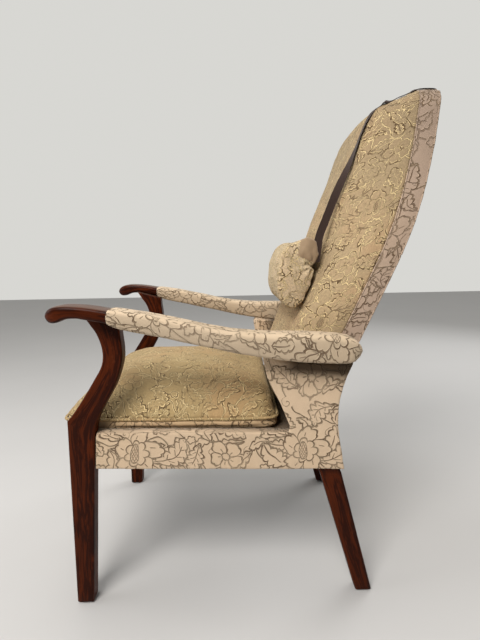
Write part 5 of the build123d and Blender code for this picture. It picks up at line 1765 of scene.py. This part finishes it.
def tail_bag():
    rings = []
    for z, hx, y0, y1 in ((936, 40, 747.2, 753.8), (934, 41.5, 745.6, 755.2), (928, 43, 743.2, 757.0), (918, 44, 741.4, 758.4), (898, 45.3, 737.6, 758.6), (880, 45.6, 734.2, 757.6),
                          (870, 44.4, 733.0, 752.6), (864.5, 42, 732.6, 747.4), (862.4, 40, 734.2, 743.8)):
        hy = (y1 - y0) / 2000
        rings.append(rrect(P(0, (y0 + y1) / 2, z), (0, 1, 0), (1, 0, 0), hy, hx / 1000, min(0.0065, hy * 0.93), 5, 9))
    V, F, _ = loft(rings)
    ob = mesh_object("strap_tail_bag", V, F, None, M_PANEL)
    remesh(ob, 0.0022)
    relax(ob, 2, 0.4)
    co, nn = coords(ob), normals(ob)
    z = co[:, 2] * 1000
    y = co[:, 1] * 1000 - FOOT_Y
    x = co[:, 0] * 1000
    d = noise3(co, 30.0) * 0.9 + noise3(co + 2.0, 75.0) * 0.4
    d += np.sin(x / 4.2 + noise3(co, 40) * 2) * 0.6 * smoothstep(915, 933, z)
    d += -0.9 * np.exp(-((z - 929) / 1.3) ** 2)
    d -= 1.0
    set_coords(ob, co + nn * d[:, None] / 1000)
    map_uv(ob, lambda c, n: np.stack([c[:, 0] + 5.1, c[:, 2] + np.where(np.abs(n[:, 2]) > 0.7, c[:, 1], 0.0)], 1))
    return ob


tb = tail_bag()
piece(tb, "pillow_body", "cut_velvet", "strap_weight")


# ------------------------------------------------------------------ cloths under and inside the seat
def taut_sheet(name, x0, x1, y0, y1, zf, thick, mat, nx, ny, sag, uvk):
    xs, ys = np.linspace(x0, x1, nx), np.linspace(y0, y1, ny)
    X, Y = np.meshgrid(xs, ys)
    e = smoothstep(0, 30, np.minimum(np.minimum(X - x0, x1 - X), np.minimum(Y - y0, y1 - Y)))
    base = P(X.ravel(), Y.ravel(), zf(Y).ravel())
    w = (noise3(base, 11.0) * 0.8 + noise3(base + 1.3, 30.0) * 0.3) * e.ravel() + sag * e.ravel()
    top_ = base + np.array([0, 0, 1]) * w[:, None] / 1000
    bot = top_ - np.array([0, 0, thick / 1000])
    V = np.vstack([top_, bot])
    N = nx * ny
    F = []
    for j in range(ny - 1):
        for i in range(nx - 1):
            a, b, c, d = j * nx + i, j * nx + i + 1, (j + 1) * nx + i + 1, (j + 1) * nx + i
            F.append((a, b, c, d))
            F.append((N + d, N + c, N + b, N + a))
    rim = [i for i in range(nx)] + [j * nx + nx - 1 for j in range(1, ny)] + [(ny - 1) * nx + i for i in range(nx - 2, -1, -1)] + [j * nx for j in range(ny - 2, 0, -1)]
    for k in range(len(rim)):
        a, b = rim[k], rim[(k + 1) % len(rim)]
        F.append((a, N + a, N + b, b))
    ob = mesh_object(name, V, F, None, mat)
    map_uv(ob, lambda c, n: c[:, :2] + np.array([1.0, 1.0]) + (c[:, 2:3] * 0.2))
    return ob


pc_ = taut_sheet("platform_canvas_sheet", -250.3, 250.3, 22.2, 462.8, lambda y: np.full_like(y, 360.6), 0.9, M_CANVAS, 52, 46, 0.0, 1)
piece(pc_, BODY, "platform_canvas", "platform_cloth")
dc_ = taut_sheet("dust_cambric_sheet", -274.6, 274.6, 23.4, 494.6, lambda y: cover_bottom(y) + 2.5, 0.7, M_CAMBRIC, 56, 50, 0.0, 1)
piece(dc_, BODY, "dust_cambric", "dust_cover")

# ------------------------------------------------------------------ timber, springs and fixings that are carried over
for node in ("side_rail_left", "side_rail_right", "front_rail", "back_rail", "corner_blocks", "rail_dowels", "arm_dowels", "side_board_left", "side_board_right",
             "back_post_left", "back_post_right", "back_top_rail", "back_lower_rail", "back_lumbar_rail"):
    wear(node, M_BEECH)
for node in ("block_screws", "arm_screws", "back_bolts", "bolt_washers", "spring_plate_left", "spring_plate_right"):
    wear(node, M_STEEL)
for node in ("seat_springs", "back_springs"):
    wear(node, M_SPRING)
wear("back_lining", M_HESSIAN)
wear("foot_glides", M_GLIDE)
